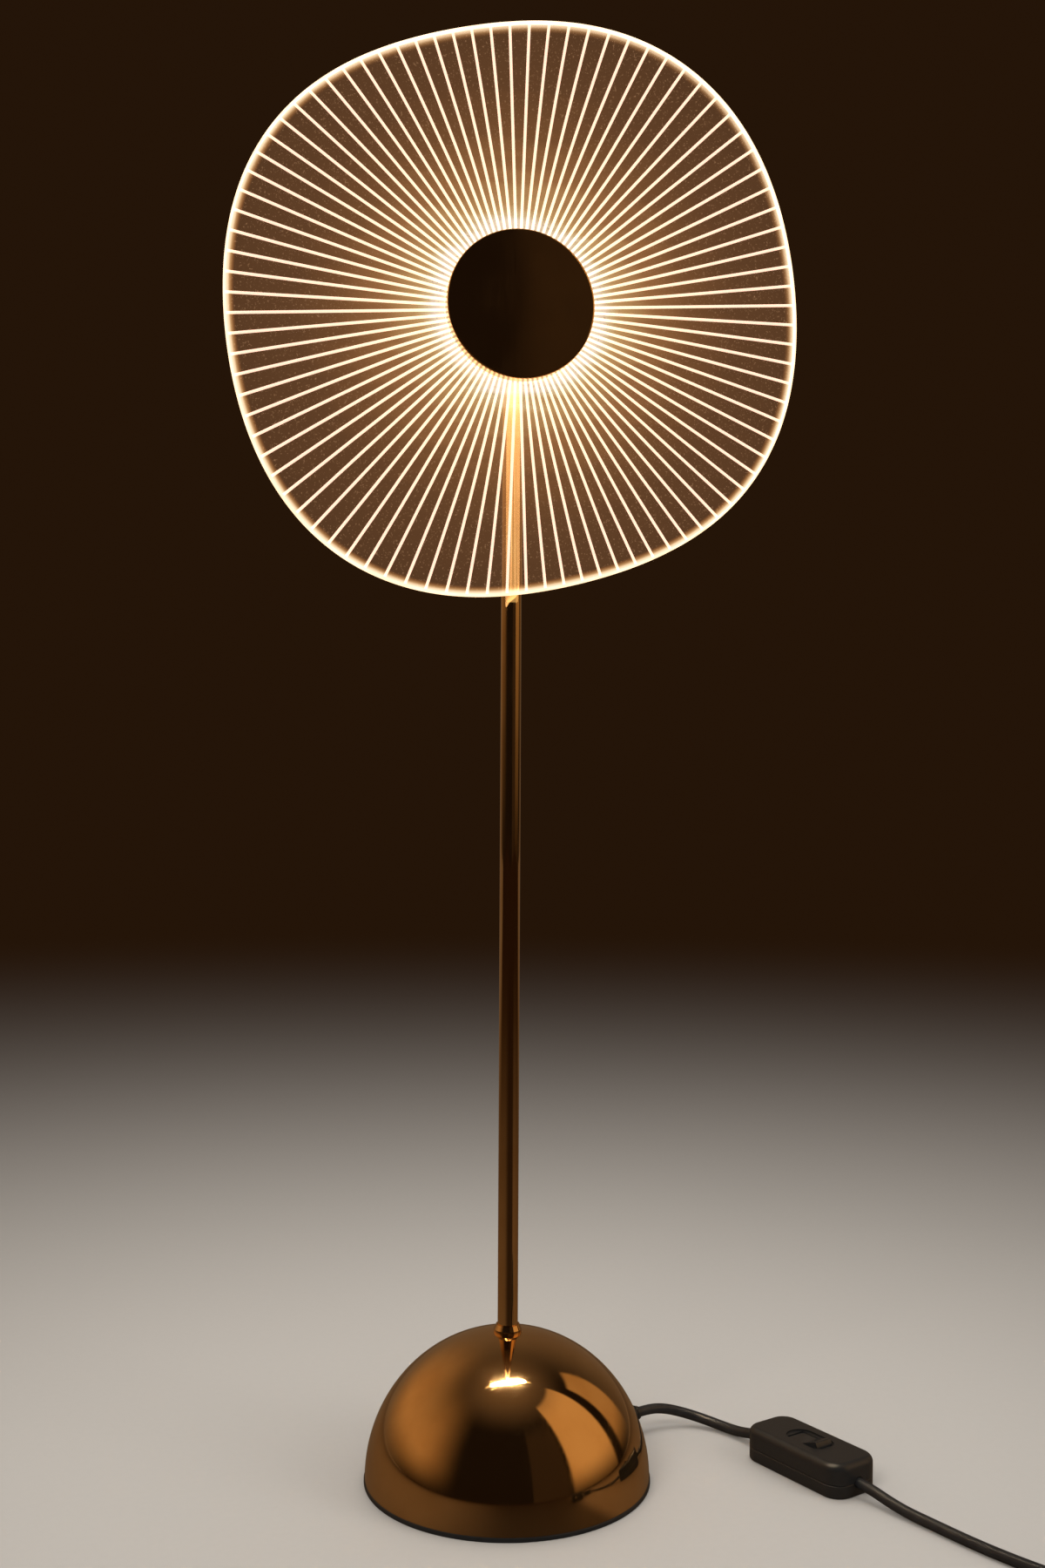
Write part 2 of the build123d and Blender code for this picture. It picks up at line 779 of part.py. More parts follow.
# Lower half shell, with the screw bosses and half of each cord entry
with BuildPart() as switch_base:
    with BuildSketch(switch_plane(0)):
        shell_outline()
    extrude(amount=switch_parting)
    fillet(switch_base.edges().group_by(Axis.Z)[0], switch_foot_round)
    chamfer(switch_base.edges().group_by(Axis.Z)[-1], switch_seam)
    with BuildSketch(switch_plane(switch_wall)):
        shell_cavity()
    extrude(amount=switch_parting, mode=Mode.SUBTRACT)
    with BuildSketch(switch_plane(switch_wall)):
        with Locations(*shell_screw_spots):
            Circle(boss_radius)
    extrude(amount=switch_parting - switch_wall)
    with BuildSketch(switch_plane(0)):
        with Locations(*shell_screw_spots):
            Circle(shell_screw_radius + slip_gap)
    extrude(amount=switch_parting + overrun, mode=Mode.SUBTRACT)
    with BuildSketch(switch_plane(0)):
        with Locations(*shell_screw_spots):
            Circle(shell_screw_head + slip_gap)
    extrude(amount=shell_screw_sink, mode=Mode.SUBTRACT)
    with BuildSketch(entry_plane):
        Circle(cord_radius + slip_gap)
    extrude(amount=switch_length / 2 + overrun, both=True, mode=Mode.SUBTRACT)
write(switch_base, "switch_base")

# Upper half shell: an oval dish, the rocker's window and the lugs that hold its pin
with BuildPart() as switch_top:
    with BuildSketch(switch_plane(switch_parting)):
        shell_outline()
    extrude(amount=switch_height - switch_parting)
    fillet(switch_top.edges().group_by(Axis.Z)[-1], switch_top_round)
    chamfer(switch_top.edges().group_by(Axis.Z)[0], switch_seam)
    with BuildSketch(switch_plane(switch_parting)):
        shell_cavity()
    extrude(amount=switch_ceiling - switch_parting, mode=Mode.SUBTRACT)
    with BuildSketch(switch_plane(switch_height)):
        SlotOverall(dish_length, dish_width)
    extrude(amount=-dish_depth, mode=Mode.SUBTRACT)
    with BuildSketch(switch_plane(switch_ceiling)):
        with Locations((0, pin_half_length), (0, -pin_half_length)):
            Rectangle(lug_length, 2 * lug_thickness)
    extrude(amount=pivot_level - lug_drop - switch_ceiling)
    with BuildSketch(switch_plane(switch_height)):
        Rectangle(window_length, window_width)
    extrude(amount=pivot_level - lug_drop - switch_height - overrun, mode=Mode.SUBTRACT)
    with BuildSketch(side_plane(pivot_level, 0)):
        Circle(pin_radius + thread_gap)
    extrude(amount=pin_half_length, both=True, mode=Mode.SUBTRACT)
    with BuildSketch(switch_plane(switch_parting)):
        with Locations(*shell_screw_spots):
            Circle(boss_radius)
    extrude(amount=switch_ceiling - switch_parting)
    with BuildSketch(switch_plane(switch_parting)):
        with Locations(*shell_screw_spots):
            Circle(shell_screw_radius + thread_gap)
    extrude(amount=shell_screw_bite + seat_gap, mode=Mode.SUBTRACT)
    with BuildSketch(entry_plane):
        Circle(cord_radius + slip_gap)
    extrude(amount=switch_length / 2 + overrun, both=True, mode=Mode.SUBTRACT)
write(switch_top, "switch_top")

# Rocker with a shallow V on top and ends that are round about its pin, front end up
with BuildPart() as switch_rocker:
    with BuildSketch(rocker_plane) as rocker_profile:
        with BuildLine():
            Polyline((-rocker_end, rocker_rise), (0, rocker_crest), (rocker_end, rocker_rise))
            ThreePointArc((rocker_end, rocker_rise), (rocker_swing, 0), (belly_end, -rocker_belly))
            Line((belly_end, -rocker_belly), (-belly_end, -rocker_belly))
            ThreePointArc((-belly_end, -rocker_belly), (-rocker_swing, 0), (-rocker_end, rocker_rise))
        make_face()
        fillet(rocker_profile.vertices().sort_by(Axis.Y)[-2:], rocker_round)
        Circle(pin_radius + slip_gap, mode=Mode.SUBTRACT)
    extrude(amount=rocker_width / 2, both=True)
    plunger_plane = Plane(origin=rocker_plane.origin, x_dir=switch_across, z_dir=rocker_plane.y_dir)
    with BuildSketch(plunger_plane.offset(-rocker_belly)):
        Circle(plunger_radius + thread_gap)
    extrude(amount=plunger_seat, mode=Mode.SUBTRACT)
write(switch_rocker, "switch_rocker")

with BuildPart() as rocker_pin:
    with BuildSketch(side_plane(pivot_level, 0)):
        Circle(pin_radius)
    extrude(amount=pin_half_length, both=True)
write(rocker_pin, "rocker_pin")

with BuildPart() as contact_plunger:
    with BuildSketch(plunger_plane.offset(-plunger_reach)):
        Circle(plunger_radius)
    extrude(amount=plunger_reach - rocker_belly + plunger_seat)
    fillet(contact_plunger.edges().sort_by(Axis.Z)[0], plunger_round)
write(contact_plunger, "contact_plunger")

# Rocking contact plate, bent up at both ends, on the fulcrum under the plunger
arm_level = pivot_level - plunger_reach - seat_gap - arm_thickness / 2
arm_half = arm_length / 2
arm_lift = arm_half * math.tan(math.radians(arm_bend))
arm_drop = arm_half * math.tan(math.radians(arm_tilt - arm_bend))
stand_level = arm_level - arm_thickness / 2 - slip_gap
pad_level = stand_level - arm_drop

with BuildPart() as contact_arm:
    with BuildSketch(side_plane(arm_level, -arm_tilt)):
        with BuildLine():
            Polyline(
                (-arm_half, arm_lift + arm_thickness / 2),
                (0, arm_thickness / 2),
                (arm_half, arm_lift + arm_thickness / 2),
                (arm_half, arm_lift - arm_thickness / 2),
                (0, -arm_thickness / 2),
                (-arm_half, arm_lift - arm_thickness / 2),
                close=True,
            )
        make_face()
    extrude(amount=arm_width / 2, both=True)
write(contact_arm, "contact_arm")

# Fixed contacts on the floor: fulcrum and end contact, each with a strip to its terminal cage
cage_spots = [(-cage_place, 0), (cage_place, 0)]
cage_top = switch_wall + cage_size
pad_place = arm_half - pad_length / 2

with BuildPart() as switch_contacts:
    with BuildSketch(switch_plane(switch_wall)):
        with Locations(*cage_spots):
            Rectangle(cage_size, cage_size)
    extrude(amount=cage_size)
    with BuildSketch(switch_plane(switch_wall)):
        with Locations((-cage_place, 0)):
            Rectangle(cage_place + stand_length / 2, arm_width, align=(Align.MIN, Align.CENTER))
        with Locations((cage_place, 0)):
            Rectangle(cage_place - arm_half + pad_length, arm_width, align=(Align.MAX, Align.CENTER))
    extrude(amount=strip_metal)
    with BuildSketch(switch_plane(switch_wall)):
        Rectangle(stand_length, arm_width)
    extrude(amount=stand_level - switch_wall)
    with BuildSketch(switch_plane(switch_wall)):
        with Locations((pad_place, 0)):
            Rectangle(pad_length, arm_width)
    extrude(amount=pad_level - switch_wall)
    with BuildSketch(switch_plane(cage_top)):
        with Locations(*cage_spots):
            Circle(cage_screw_radius + thread_gap)
    extrude(amount=-(cage_screw_depth + seat_gap), mode=Mode.SUBTRACT)
write(switch_contacts, "switch_contacts")

with BuildPart() as terminal_screws:
    with BuildSketch(switch_plane(cage_top)):
        with Locations(*cage_spots):
            Circle(cage_screw_head)
    extrude(amount=cage_screw_rise)
    with BuildSketch(switch_plane(cage_top)):
        with Locations(*cage_spots):
            Circle(cage_screw_radius)
    extrude(amount=-cage_screw_depth)
write(terminal_screws, "terminal_screws")

with BuildPart() as shell_screws:
    with BuildSketch(switch_plane(shell_screw_sink)):
        with Locations(*shell_screw_spots):
            Circle(shell_screw_head)
    extrude(amount=seat_gap - shell_screw_sink)
    with BuildSketch(switch_plane(shell_screw_sink)):
        with Locations(*shell_screw_spots):
            Circle(shell_screw_radius)
    extrude(amount=switch_parting + shell_screw_bite - shell_screw_sink)
write(shell_screws, "shell_screws")

# Blocks that hold the cord's sheath behind each end wall
clamp_place = switch_length / 2 - switch_wall - seat_gap - clamp_length / 2

with BuildPart() as cord_clamps:
    with BuildSketch(switch_plane(switch_wall)):
        with Locations((clamp_place, 0), (-clamp_place, 0)):
            Rectangle(clamp_length, clamp_width)
    extrude(amount=switch_parting + cord_radius + clamp_cover - switch_wall)
    with BuildSketch(entry_plane):
        Circle(cord_radius + slip_gap)
    extrude(amount=switch_length / 2, both=True, mode=Mode.SUBTRACT)
write(cord_clamps, "cord_clamps")

# Cores of the cord: one is broken at the terminals, the other runs through beside them
cord_stop = switch_length / 2 - cord_entry
cage_face = cage_place + cage_size / 2
through_stops = [
    (-cord_stop, core_wire_spread),
    (through_wire_lead - cord_stop, core_wire_spread),
    (-through_wire_turn, through_wire_side),
    (through_wire_turn, through_wire_side),
    (cord_stop - through_wire_lead, core_wire_spread),
    (cord_stop, core_wire_spread),
]
broken_core = Plane(origin=entry_plane.from_local_coords((-core_wire_spread, -core_wire_radius, 0)),
                    x_dir=switch_across, z_dir=switch_along)

with BuildPart() as switch_leads:
    for inner, outer in ((cage_face, cord_stop), (-cord_stop, -cage_face)):
        with BuildSketch(broken_core.offset(inner)):
            Circle(core_wire_radius)
        extrude(amount=outer - inner)
    with BuildLine(switch_plane(switch_parting)) as core_path:
        FilletPolyline(*through_stops, radius=bend_radii(through_stops))
    with BuildSketch(start_plane(core_path.line)):
        Circle(core_wire_radius)
    sweep()
write(switch_leads, "switch_leads")


# Cord from the strain relief to the switch, and from the switch to the coil
def on_switch_axis(reach):
    return switch_foot + switch_along * reach + Vector(0, 0, switch_parting)


def on_gland_axis(reach):
    return gland_way * reach + Vector(0, 0, gland_level)


coil_turn = math.radians(coil_heading)
coil_way = Vector(math.cos(coil_turn), math.sin(coil_turn), 0)
coil_level = tie_thickness + tie_gap + cord_radius
coil_start = Vector(coil_start_x, coil_start_y, coil_level)
cord_width = 2 * cord_radius

stops_to_switch = [
    on_gland_axis(gland_end),
    on_gland_axis(gland_end + gland_lead),
    *route_to_switch,
    on_switch_axis(-switch_length / 2 - cord_approach),
    on_switch_axis(-cord_stop),
]
stops_to_coil = [
    on_switch_axis(cord_stop),
    on_switch_axis(switch_length / 2 + cord_approach),
    *route_to_coil,
    coil_start - coil_way * (cord_width + coil_lead_in),
    coil_start - coil_way * cord_width,
]

with BuildPart() as cord_to_switch:
    with BuildLine() as cord_path:
        FilletPolyline(*stops_to_switch, radius=bend_radii(stops_to_switch))
    with BuildSketch(start_plane(cord_path.line)):
        Circle(cord_radius)
    sweep()
write(cord_to_switch, "cord_to_switch")
print("bends to the switch:", ", ".join(f"{radius:.1f}" for radius in bend_radii(stops_to_switch)))
tell_tube("cord_to_switch", cord_to_switch, cord_path.wire(), cord_radius)

with BuildPart() as cord_to_coil:
    with BuildLine() as cord_path:
        FilletPolyline(*stops_to_coil, radius=bend_radii(stops_to_coil))
    with BuildSketch(start_plane(cord_path.line)):
        Circle(cord_radius)
    sweep()
write(cord_to_coil, "cord_to_coil")
print("bends to the coil:", ", ".join(f"{radius:.1f}" for radius in bend_radii(stops_to_coil)))
tell_tube("cord_to_coil", cord_to_coil, cord_path.wire(), cord_radius)

# Put-away coil: half turns that spiral in on one layer, climb, and spiral out on the next
coil_outward = Vector(-math.sin(coil_turn), math.cos(coil_turn), 0)
coil_outer_radius = coil_inner_radius + coil_half_turns_in * coil_pitch / 2
coil_plane = Plane(origin=coil_start - coil_outward * coil_outer_radius, x_dir=coil_outward, z_dir=(0, 0, 1))
coil_end_place = -coil_outer_radius - coil_pitch

with BuildPart() as cord_coil:
    with BuildLine(coil_plane) as coil_path:
        Line((coil_outer_radius, cord_width, 0), (coil_outer_radius, 0, 0))
        place = coil_outer_radius
        level = 0
        for half_turn in range(2 * coil_half_turns_in + 1):
            steps_in = coil_half_turns_in - abs(coil_half_turns_in - half_turn)
            radius = coil_outer_radius - steps_in * coil_pitch / 2
            climb = coil_pitch if half_turn == coil_half_turns_in else 0
            side = -1 if half_turn % 2 == 0 else 1
            next_place = place + 2 * side * radius
            next_level = level + climb
            crown = (
                (place + next_place) / 2,
                side * math.hypot(radius, climb / 2),
                (level + next_level) / 2,
            )
            ThreePointArc((place, 0, level), crown, (next_place, 0, next_level))
            place = next_place
            level = next_level
        Line((place, 0, level), (place, coil_tail, level))
    with BuildSketch(start_plane(coil_path.line)):
        Circle(cord_radius)
    sweep()
write(cord_coil, "cord_coil")
tell_tube("cord_coil", cord_coil, coil_path.wire(), cord_radius)
coil_points = []
for edge in coil_path.edges().filter_by(GeomType.CIRCLE):
    coil_points.extend(edge @ (step / coil_samples) for step in range(coil_samples))
quarter = coil_samples // 2
coil_gap = min(
    (there - here).length for index, here in enumerate(coil_points) for there in coil_points[index + quarter:]
)
print(f"cord_coil: least gap to itself {coil_gap - cord_width:.2f}")

# Band that ties the coil on one side
bundle_top = coil_level + coil_pitch + cord_radius
bundle_outer = coil_outer_radius + cord_radius + tie_gap + tie_thickness
bundle_inner = coil_inner_radius + coil_pitch / 2 - cord_radius - tie_slack - tie_thickness
tie_height = bundle_top + tie_gap + tie_thickness
tie_plane = Plane(
    origin=coil_plane.from_local_coords((-coil_pitch / 2, 0, -coil_level)),
    x_dir=coil_way,
    z_dir=-coil_outward,
)

with BuildPart() as cord_tie:
    with BuildSketch(tie_plane):
        with Locations(((bundle_outer + bundle_inner) / 2, tie_height / 2)):
            RectangleRounded(bundle_outer - bundle_inner, tie_height, tie_round)
            RectangleRounded(
                bundle_outer - bundle_inner - 2 * tie_thickness,
                tie_height - 2 * tie_thickness,
                tie_round - tie_thickness,
                mode=Mode.SUBTRACT,
            )
    extrude(amount=tie_width / 2, both=True)
write(cord_tie, "cord_tie")

# Flat two-pin plug with a tapered boot, lying on the table at the coil's end
plug_level = coil_level + coil_pitch
plug_height = 2 * plug_level
plug_start = coil_plane.from_local_coords((coil_end_place, coil_tail, coil_pitch))
plug_plane = Plane(origin=plug_start, x_dir=-coil_outward, z_dir=-coil_way)
plug_face = plug_boot_length + plug_length

with BuildPart() as plug_body:
    with BuildSketch(plug_plane):
        Circle(plug_boot_tip_radius)
    with BuildSketch(plug_plane.offset(plug_boot_length)):
        Circle(plug_boot_root_radius)
    loft()
    with BuildSketch(plug_plane.offset(plug_boot_length)):
        RectangleRounded(plug_back_width, plug_back_height, plug_round)
    with BuildSketch(plug_plane.offset(plug_boot_length + plug_shoulder)):
        RectangleRounded(plug_grip_width, plug_height, plug_round)
    with BuildSketch(plug_plane.offset(plug_face)):
        RectangleRounded(plug_width, plug_height, plug_round)
    loft(ruled=True)
    fillet(plug_body.faces().sort_by(Axis(plug_start, -coil_way))[-1].edges(), plug_face_round)
write(plug_body, "plug_body")

with BuildPart() as plug_pins:
    with BuildSketch(plug_plane.offset(plug_face)):
        with Locations((plug_pin_spacing / 2, 0), (-plug_pin_spacing / 2, 0)):
            Circle(plug_pin_radius)
    extrude(amount=plug_pin_length)
    pin_tips = plug_pins.edges().filter_by(GeomType.CIRCLE).sort_by(Axis(plug_start, -coil_way))[-2:]
    fillet(pin_tips, plug_pin_round)
write(plug_pins, "plug_pins")
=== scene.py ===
import json
import math

import bmesh
import bpy
from mathutils import Matrix, Vector


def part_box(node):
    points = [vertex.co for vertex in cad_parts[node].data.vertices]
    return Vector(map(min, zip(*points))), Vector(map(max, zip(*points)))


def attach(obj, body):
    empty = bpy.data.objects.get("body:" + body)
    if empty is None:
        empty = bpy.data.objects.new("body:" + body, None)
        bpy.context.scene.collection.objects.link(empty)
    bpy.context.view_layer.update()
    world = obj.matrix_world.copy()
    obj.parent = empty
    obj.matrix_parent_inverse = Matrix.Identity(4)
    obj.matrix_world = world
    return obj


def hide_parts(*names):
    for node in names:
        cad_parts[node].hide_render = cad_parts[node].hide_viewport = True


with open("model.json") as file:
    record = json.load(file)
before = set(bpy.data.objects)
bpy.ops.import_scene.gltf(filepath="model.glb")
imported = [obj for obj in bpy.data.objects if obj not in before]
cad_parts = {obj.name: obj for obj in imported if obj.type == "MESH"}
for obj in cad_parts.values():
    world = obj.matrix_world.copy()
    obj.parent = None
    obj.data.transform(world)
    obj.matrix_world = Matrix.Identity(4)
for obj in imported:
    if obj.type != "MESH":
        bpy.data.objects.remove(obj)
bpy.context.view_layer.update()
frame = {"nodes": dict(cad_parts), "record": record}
nodes = frame["nodes"]
scene = bpy.context.scene
scene.view_settings.view_transform = "Standard"
mm = 0.001
hub = (0, 0, 0.572)  # metres, the middle of the disc and of what clamps it
mergeGap = 0.000001  # metres, corners nearer than this are one

# Camera: level, where the photograph was taken from
cameraSetup = {
    "place": (-0.1408, -0.7926, 0.342),
    "turn": -10.5,  # degrees about Z, from looking along +Y
    "roll": -0.28,  # degrees, as the photograph leans
    "focalPixels": 1873,
    "longSidePixels": 1800,
}


def makeCamera(setup):
    data = bpy.data.cameras.new("camera")
    data.lens = data.sensor_width * setup["focalPixels"] / setup["longSidePixels"]
    camera = bpy.data.objects.new("camera", data)
    camera.location = setup["place"]
    camera.rotation_euler = [math.radians(angle) for angle in (90, setup["roll"], setup["turn"])]
    scene.collection.objects.link(camera)
    scene.camera = camera


makeCamera(cameraSetup)
print("camera: lens", round(scene.camera.data.lens, 2))


# Node graphs, for materials and for geometry alike
class Socket:
    def __init__(self, graph, socket):
        self.graph = graph
        self.socket = socket

    def __add__(self, other):
        return self.graph.maths("ADD", self, other)

    def __radd__(self, other):
        return self.graph.maths("ADD", other, self)

    def __sub__(self, other):
        return self.graph.maths("SUBTRACT", self, other)

    def __rsub__(self, other):
        return self.graph.maths("SUBTRACT", other, self)

    def __mul__(self, other):
        return self.graph.maths("MULTIPLY", self, other)

    def __rmul__(self, other):
        return self.graph.maths("MULTIPLY", other, self)

    def __truediv__(self, other):
        return self.graph.maths("DIVIDE", self, other)

    def __rtruediv__(self, other):
        return self.graph.maths("DIVIDE", other, self)


class Graph:
    def __init__(self, tree):
        self.tree = tree

    def add(self, kind, settings=None, inputs=None, output=0):
        node = self.tree.nodes.new(kind)
        for key, value in (settings or {}).items():
            if key == "stops":
                self.setStops(node.color_ramp, value)
            elif key == "choices":
                self.setChoices(node.index_switch_items, value)
            else:
                setattr(node, key, value)
        for key, value in (inputs or {}).items():
            if isinstance(value, Socket):
                self.tree.links.new(value.socket, node.inputs[key])
            else:
                node.inputs[key].default_value = value
        return Socket(self, node.outputs[output]) if node.outputs else None

    def setStops(self, ramp, stops):
        while len(ramp.elements) < len(stops):
            ramp.elements.new(1)
        for element, (place, colour) in zip(ramp.elements, stops):
            element.position = place
            element.color = (*colour, 1)

    def setChoices(self, items, count):
        while len(items) < count:
            items.new()

    def maths(self, operation, first, second=0.0):
        return self.add("ShaderNodeMath", {"operation": operation}, {0: first, 1: second})

    def vector(self, x, y, z):
        return self.add("ShaderNodeCombineXYZ", {}, {0: x, 1: y, 2: z})

    def part(self, vector, axis):
        return self.add("ShaderNodeSeparateXYZ", {}, {0: vector}, "XYZ".index(axis))

    def length(self, vector):
        return self.add("ShaderNodeVectorMath", {"operation": "LENGTH"}, {0: vector}, 1)

    def place(self):
        return self.add("ShaderNodeTexCoord", output="Object")

    def away(self, centre):
        return self.add("ShaderNodeVectorMath", {"operation": "SUBTRACT"}, {0: self.place(), 1: centre})

    def drawnOut(self, scale, turn=(0, 0, 0)):
        inputs = {"Vector": self.place(), "Rotation": turn, "Scale": scale}
        return self.add("ShaderNodeMapping", {}, inputs)

    def noise(self, scale, detail=3, vector=None):
        inputs = {"Vector": vector or self.place(), "Scale": scale, "Detail": detail}
        return self.add("ShaderNodeTexNoise", {}, inputs)

    def wave(self, settings, vector, scale, distortion=0):
        inputs = {"Vector": vector, "Scale": scale, "Distortion": distortion}
        return self.add("ShaderNodeTexWave", settings, inputs, 1)

    def span(self, value, low, high, toLow=0, toHigh=1):
        inputs = {"Value": value, "From Min": low, "From Max": high, "To Min": toLow, "To Max": toHigh}
        return self.add("ShaderNodeMapRange", {"interpolation_type": "SMOOTHSTEP"}, inputs)

    def weighed(self, first, second, share):
        return first * (1 - share) + second * share

    def ramp(self, value, stops):
        return self.add("ShaderNodeValToRGB", {"stops": stops}, {0: value})

    def blend(self, factor, first, second, kind="MIX"):
        ends = [end if isinstance(end, Socket) else (*end, 1) for end in (first, second)]
        settings = {"data_type": "RGBA", "blend_type": kind}
        return self.add("ShaderNodeMix", settings, {0: factor, 6: ends[0], 7: ends[1]}, 2)

    def bump(self, height, depth, strength=1):
        return self.add("ShaderNodeBump", {}, {"Height": height, "Distance": depth, "Strength": strength})

    def ray(self, kind):
        return self.add("ShaderNodeLightPath", output=f"Is {kind} Ray")

    def mixShaders(self, factor, first, second):
        return self.add("ShaderNodeMixShader", {}, {0: factor, 1: first, 2: second})


def makeMaterial(name, describe, look):
    material = bpy.data.materials.new(name)
    material.use_nodes = True
    material.node_tree.nodes.clear()
    graph = Graph(material.node_tree)
    shader = graph.add("ShaderNodeBsdfPrincipled", {}, describe(graph, look))
    graph.add("ShaderNodeOutputMaterial", {}, {"Surface": shader})
    return material


# Plain finishes: patches of a second shade, uneven gloss and a fine grain
noiseSpan = (0.3, 0.7)  # where most of a noise lies
noiseMiddle = 0.5
patchSpan = (0.35, 0.65)  # where a patch begins and where it is whole
grainShare, grainStrength = 0.4, 0.5  # of the grain, in the gloss and in the bump
finishes = {
    "black_rubber": {"colour": (0.012, 0.012, 0.012), "shade": (0.0155, 0.015, 0.0145), "patchScale": 420,
                     "roughness": (0.5, 0.58), "grainScale": 2600, "grainDepth": 0.00006},
    "black_plastic": {"colour": (0.012, 0.0118, 0.0115), "shade": (0.0145, 0.014, 0.0138),
                      "patchScale": 520, "roughness": (0.33, 0.37),
                      "grainScale": 3400, "grainDepth": 0.00005},
    "rocker_plastic": {"colour": (0.012, 0.012, 0.012), "shade": (0.018, 0.0175, 0.017), "patchScale": 140,
                       "roughness": (0.16, 0.26), "grainScale": 2200, "grainDepth": 0.00002},
    "black_cord": {"colour": (0.012, 0.012, 0.013), "shade": (0.018, 0.018, 0.019), "patchScale": 240,
                   "roughness": (0.36, 0.46), "grainScale": 1500, "grainDepth": 0.00008},
    "cast_iron": {"colour": (0.09, 0.088, 0.086), "shade": (0.15, 0.14, 0.13), "patchScale": 120,
                  "roughness": (0.6, 0.85), "grainScale": 900, "grainDepth": 0.0004, "metallic": 0.6},
    "black_sheet": {"colour": (0.016, 0.016, 0.016), "shade": (0.0195, 0.019, 0.0185), "patchScale": 620,
                    "roughness": (0.46, 0.54), "grainScale": 1800, "grainDepth": 0.00008},
    "screw_steel": {"colour": (0.55, 0.55, 0.56), "shade": (0.66, 0.65, 0.62), "patchScale": 400,
                    "roughness": (0.24, 0.4), "grainScale": 3000, "grainDepth": 0.00003, "metallic": 1},
    "strip_white": {"colour": (0.78, 0.77, 0.73), "shade": (0.7, 0.69, 0.64), "patchScale": 200,
                    "roughness": (0.4, 0.55), "grainScale": 2500, "grainDepth": 0.00003},
    "driver_case": {"colour": (0.72, 0.71, 0.68), "shade": (0.62, 0.61, 0.58), "patchScale": 80,
                    "roughness": (0.38, 0.52), "grainScale": 2400, "grainDepth": 0.00005},
    "lead_sleeve": {"colour": (0.2, 0.09, 0.045), "shade": (0.26, 0.13, 0.07), "patchScale": 150,
                    "roughness": (0.35, 0.5), "grainScale": 2600, "grainDepth": 0.00003},
    "contact_brass": {"colour": (0.66, 0.46, 0.2), "shade": (0.56, 0.36, 0.15), "patchScale": 500,
                      "roughness": (0.22, 0.4), "grainScale": 3200, "grainDepth": 0.00003, "metallic": 1},
    "pin_nickel": {"colour": (0.66, 0.63, 0.58), "shade": (0.56, 0.53, 0.48), "patchScale": 300,
                   "roughness": (0.14, 0.28), "grainScale": 3600, "grainDepth": 0.00002, "metallic": 1},
}


def plainFinish(graph, look):
    patches = graph.noise(look["patchScale"])
    grain = graph.noise(look["grainScale"], detail=2)
    gloss = graph.weighed(patches, grain, grainShare)
    return {
        "Base Color": graph.blend(graph.span(patches, *patchSpan), look["colour"], look["shade"]),
        "Roughness": graph.span(gloss, *noiseSpan, *look["roughness"]),
        "Normal": graph.bump(grain, look["grainDepth"], grainStrength),
        "Metallic": look.get("metallic", 0),
    }


materials = {slot: makeMaterial(slot, plainFinish, look) for slot, look in finishes.items()}

# Polished gold: a mirror with faint smudges, drawn-out hairlines and slow waves from spinning
goldLook = {
    "colour": (0.79, 0.53, 0.27),
    "shade": (0.7, 0.44, 0.2),
    "smudgeScale": 38,
    "smudgeSpan": (0.35, 0.75),
    "hairScale": (900, 900, 60),
    "hairShare": 0.25,  # in the gloss
    "hairHeight": 0.0015,  # beside the waves' height of 1
    "glossSpan": (0.4, 0.75),
    "roughness": (0.045, 0.14),
    "waveScale": 26,
    "waveDepth": 0.0004,
    "waveStrength": 0.25,
}


def goldFinish(graph, look):
    smudge = graph.noise(look["smudgeScale"], detail=5)
    hairs = graph.noise(1, detail=2, vector=graph.drawnOut(look["hairScale"]))
    waves = graph.noise(look["waveScale"], detail=0)
    gloss = graph.weighed(smudge, hairs, look["hairShare"])
    relief = waves + hairs * look["hairHeight"]
    return {
        "Base Color": graph.blend(graph.span(smudge, *look["smudgeSpan"]), look["colour"], look["shade"]),
        "Roughness": graph.span(gloss, *look["glossSpan"], *look["roughness"]),
        "Normal": graph.bump(relief, look["waveDepth"], look["waveStrength"]),
        "Metallic": 1,
    }


materials["polished_gold"] = makeMaterial("polished_gold", goldFinish, goldLook)

# Turned aluminium: rings from the lathe about the drum's own axis
drumLook = {
    "colour": (0.66, 0.66, 0.67),
    "shade": (0.56, 0.56, 0.57),
    "ringScale": 900,
    "ringWobble": 0.4,
    "ringDepth": 0.00004,
    "roughness": (0.26, 0.42),
}


def turnedFinish(graph, look):
    settings = {"wave_type": "RINGS", "rings_direction": "Y"}
    rings = graph.wave(settings, graph.away(hub), look["ringScale"], look["ringWobble"])
    return {
        "Base Color": graph.blend(rings, look["colour"], look["shade"]),
        "Roughness": graph.span(rings, 0, 1, *look["roughness"]),
        "Normal": graph.bump(rings, look["ringDepth"]),
        "Metallic": 1,
    }


materials["drum_aluminium"] = makeMaterial("drum_aluminium", turnedFinish, drumLook)

# Phosphor of the LEDs, lit
chipLook = {
    "colour": (0.9, 0.7, 0.25),
    "roughness": (0.3, 0.5),
    "cellScale": 700,
    "glow": ((1.0, 0.68, 0.36), (1.0, 0.84, 0.6)),
    "strength": 4,
}


def chipFinish(graph, look):
    cells = graph.noise(look["cellScale"])
    return {
        "Base Color": (*look["colour"], 1),
        "Roughness": graph.span(cells, *noiseSpan, *look["roughness"]),
        "Emission Color": graph.blend(cells, *look["glow"]),
        "Emission Strength": look["strength"],
    }


materials["chip_glow"] = makeMaterial("chip_glow", chipFinish, chipLook)

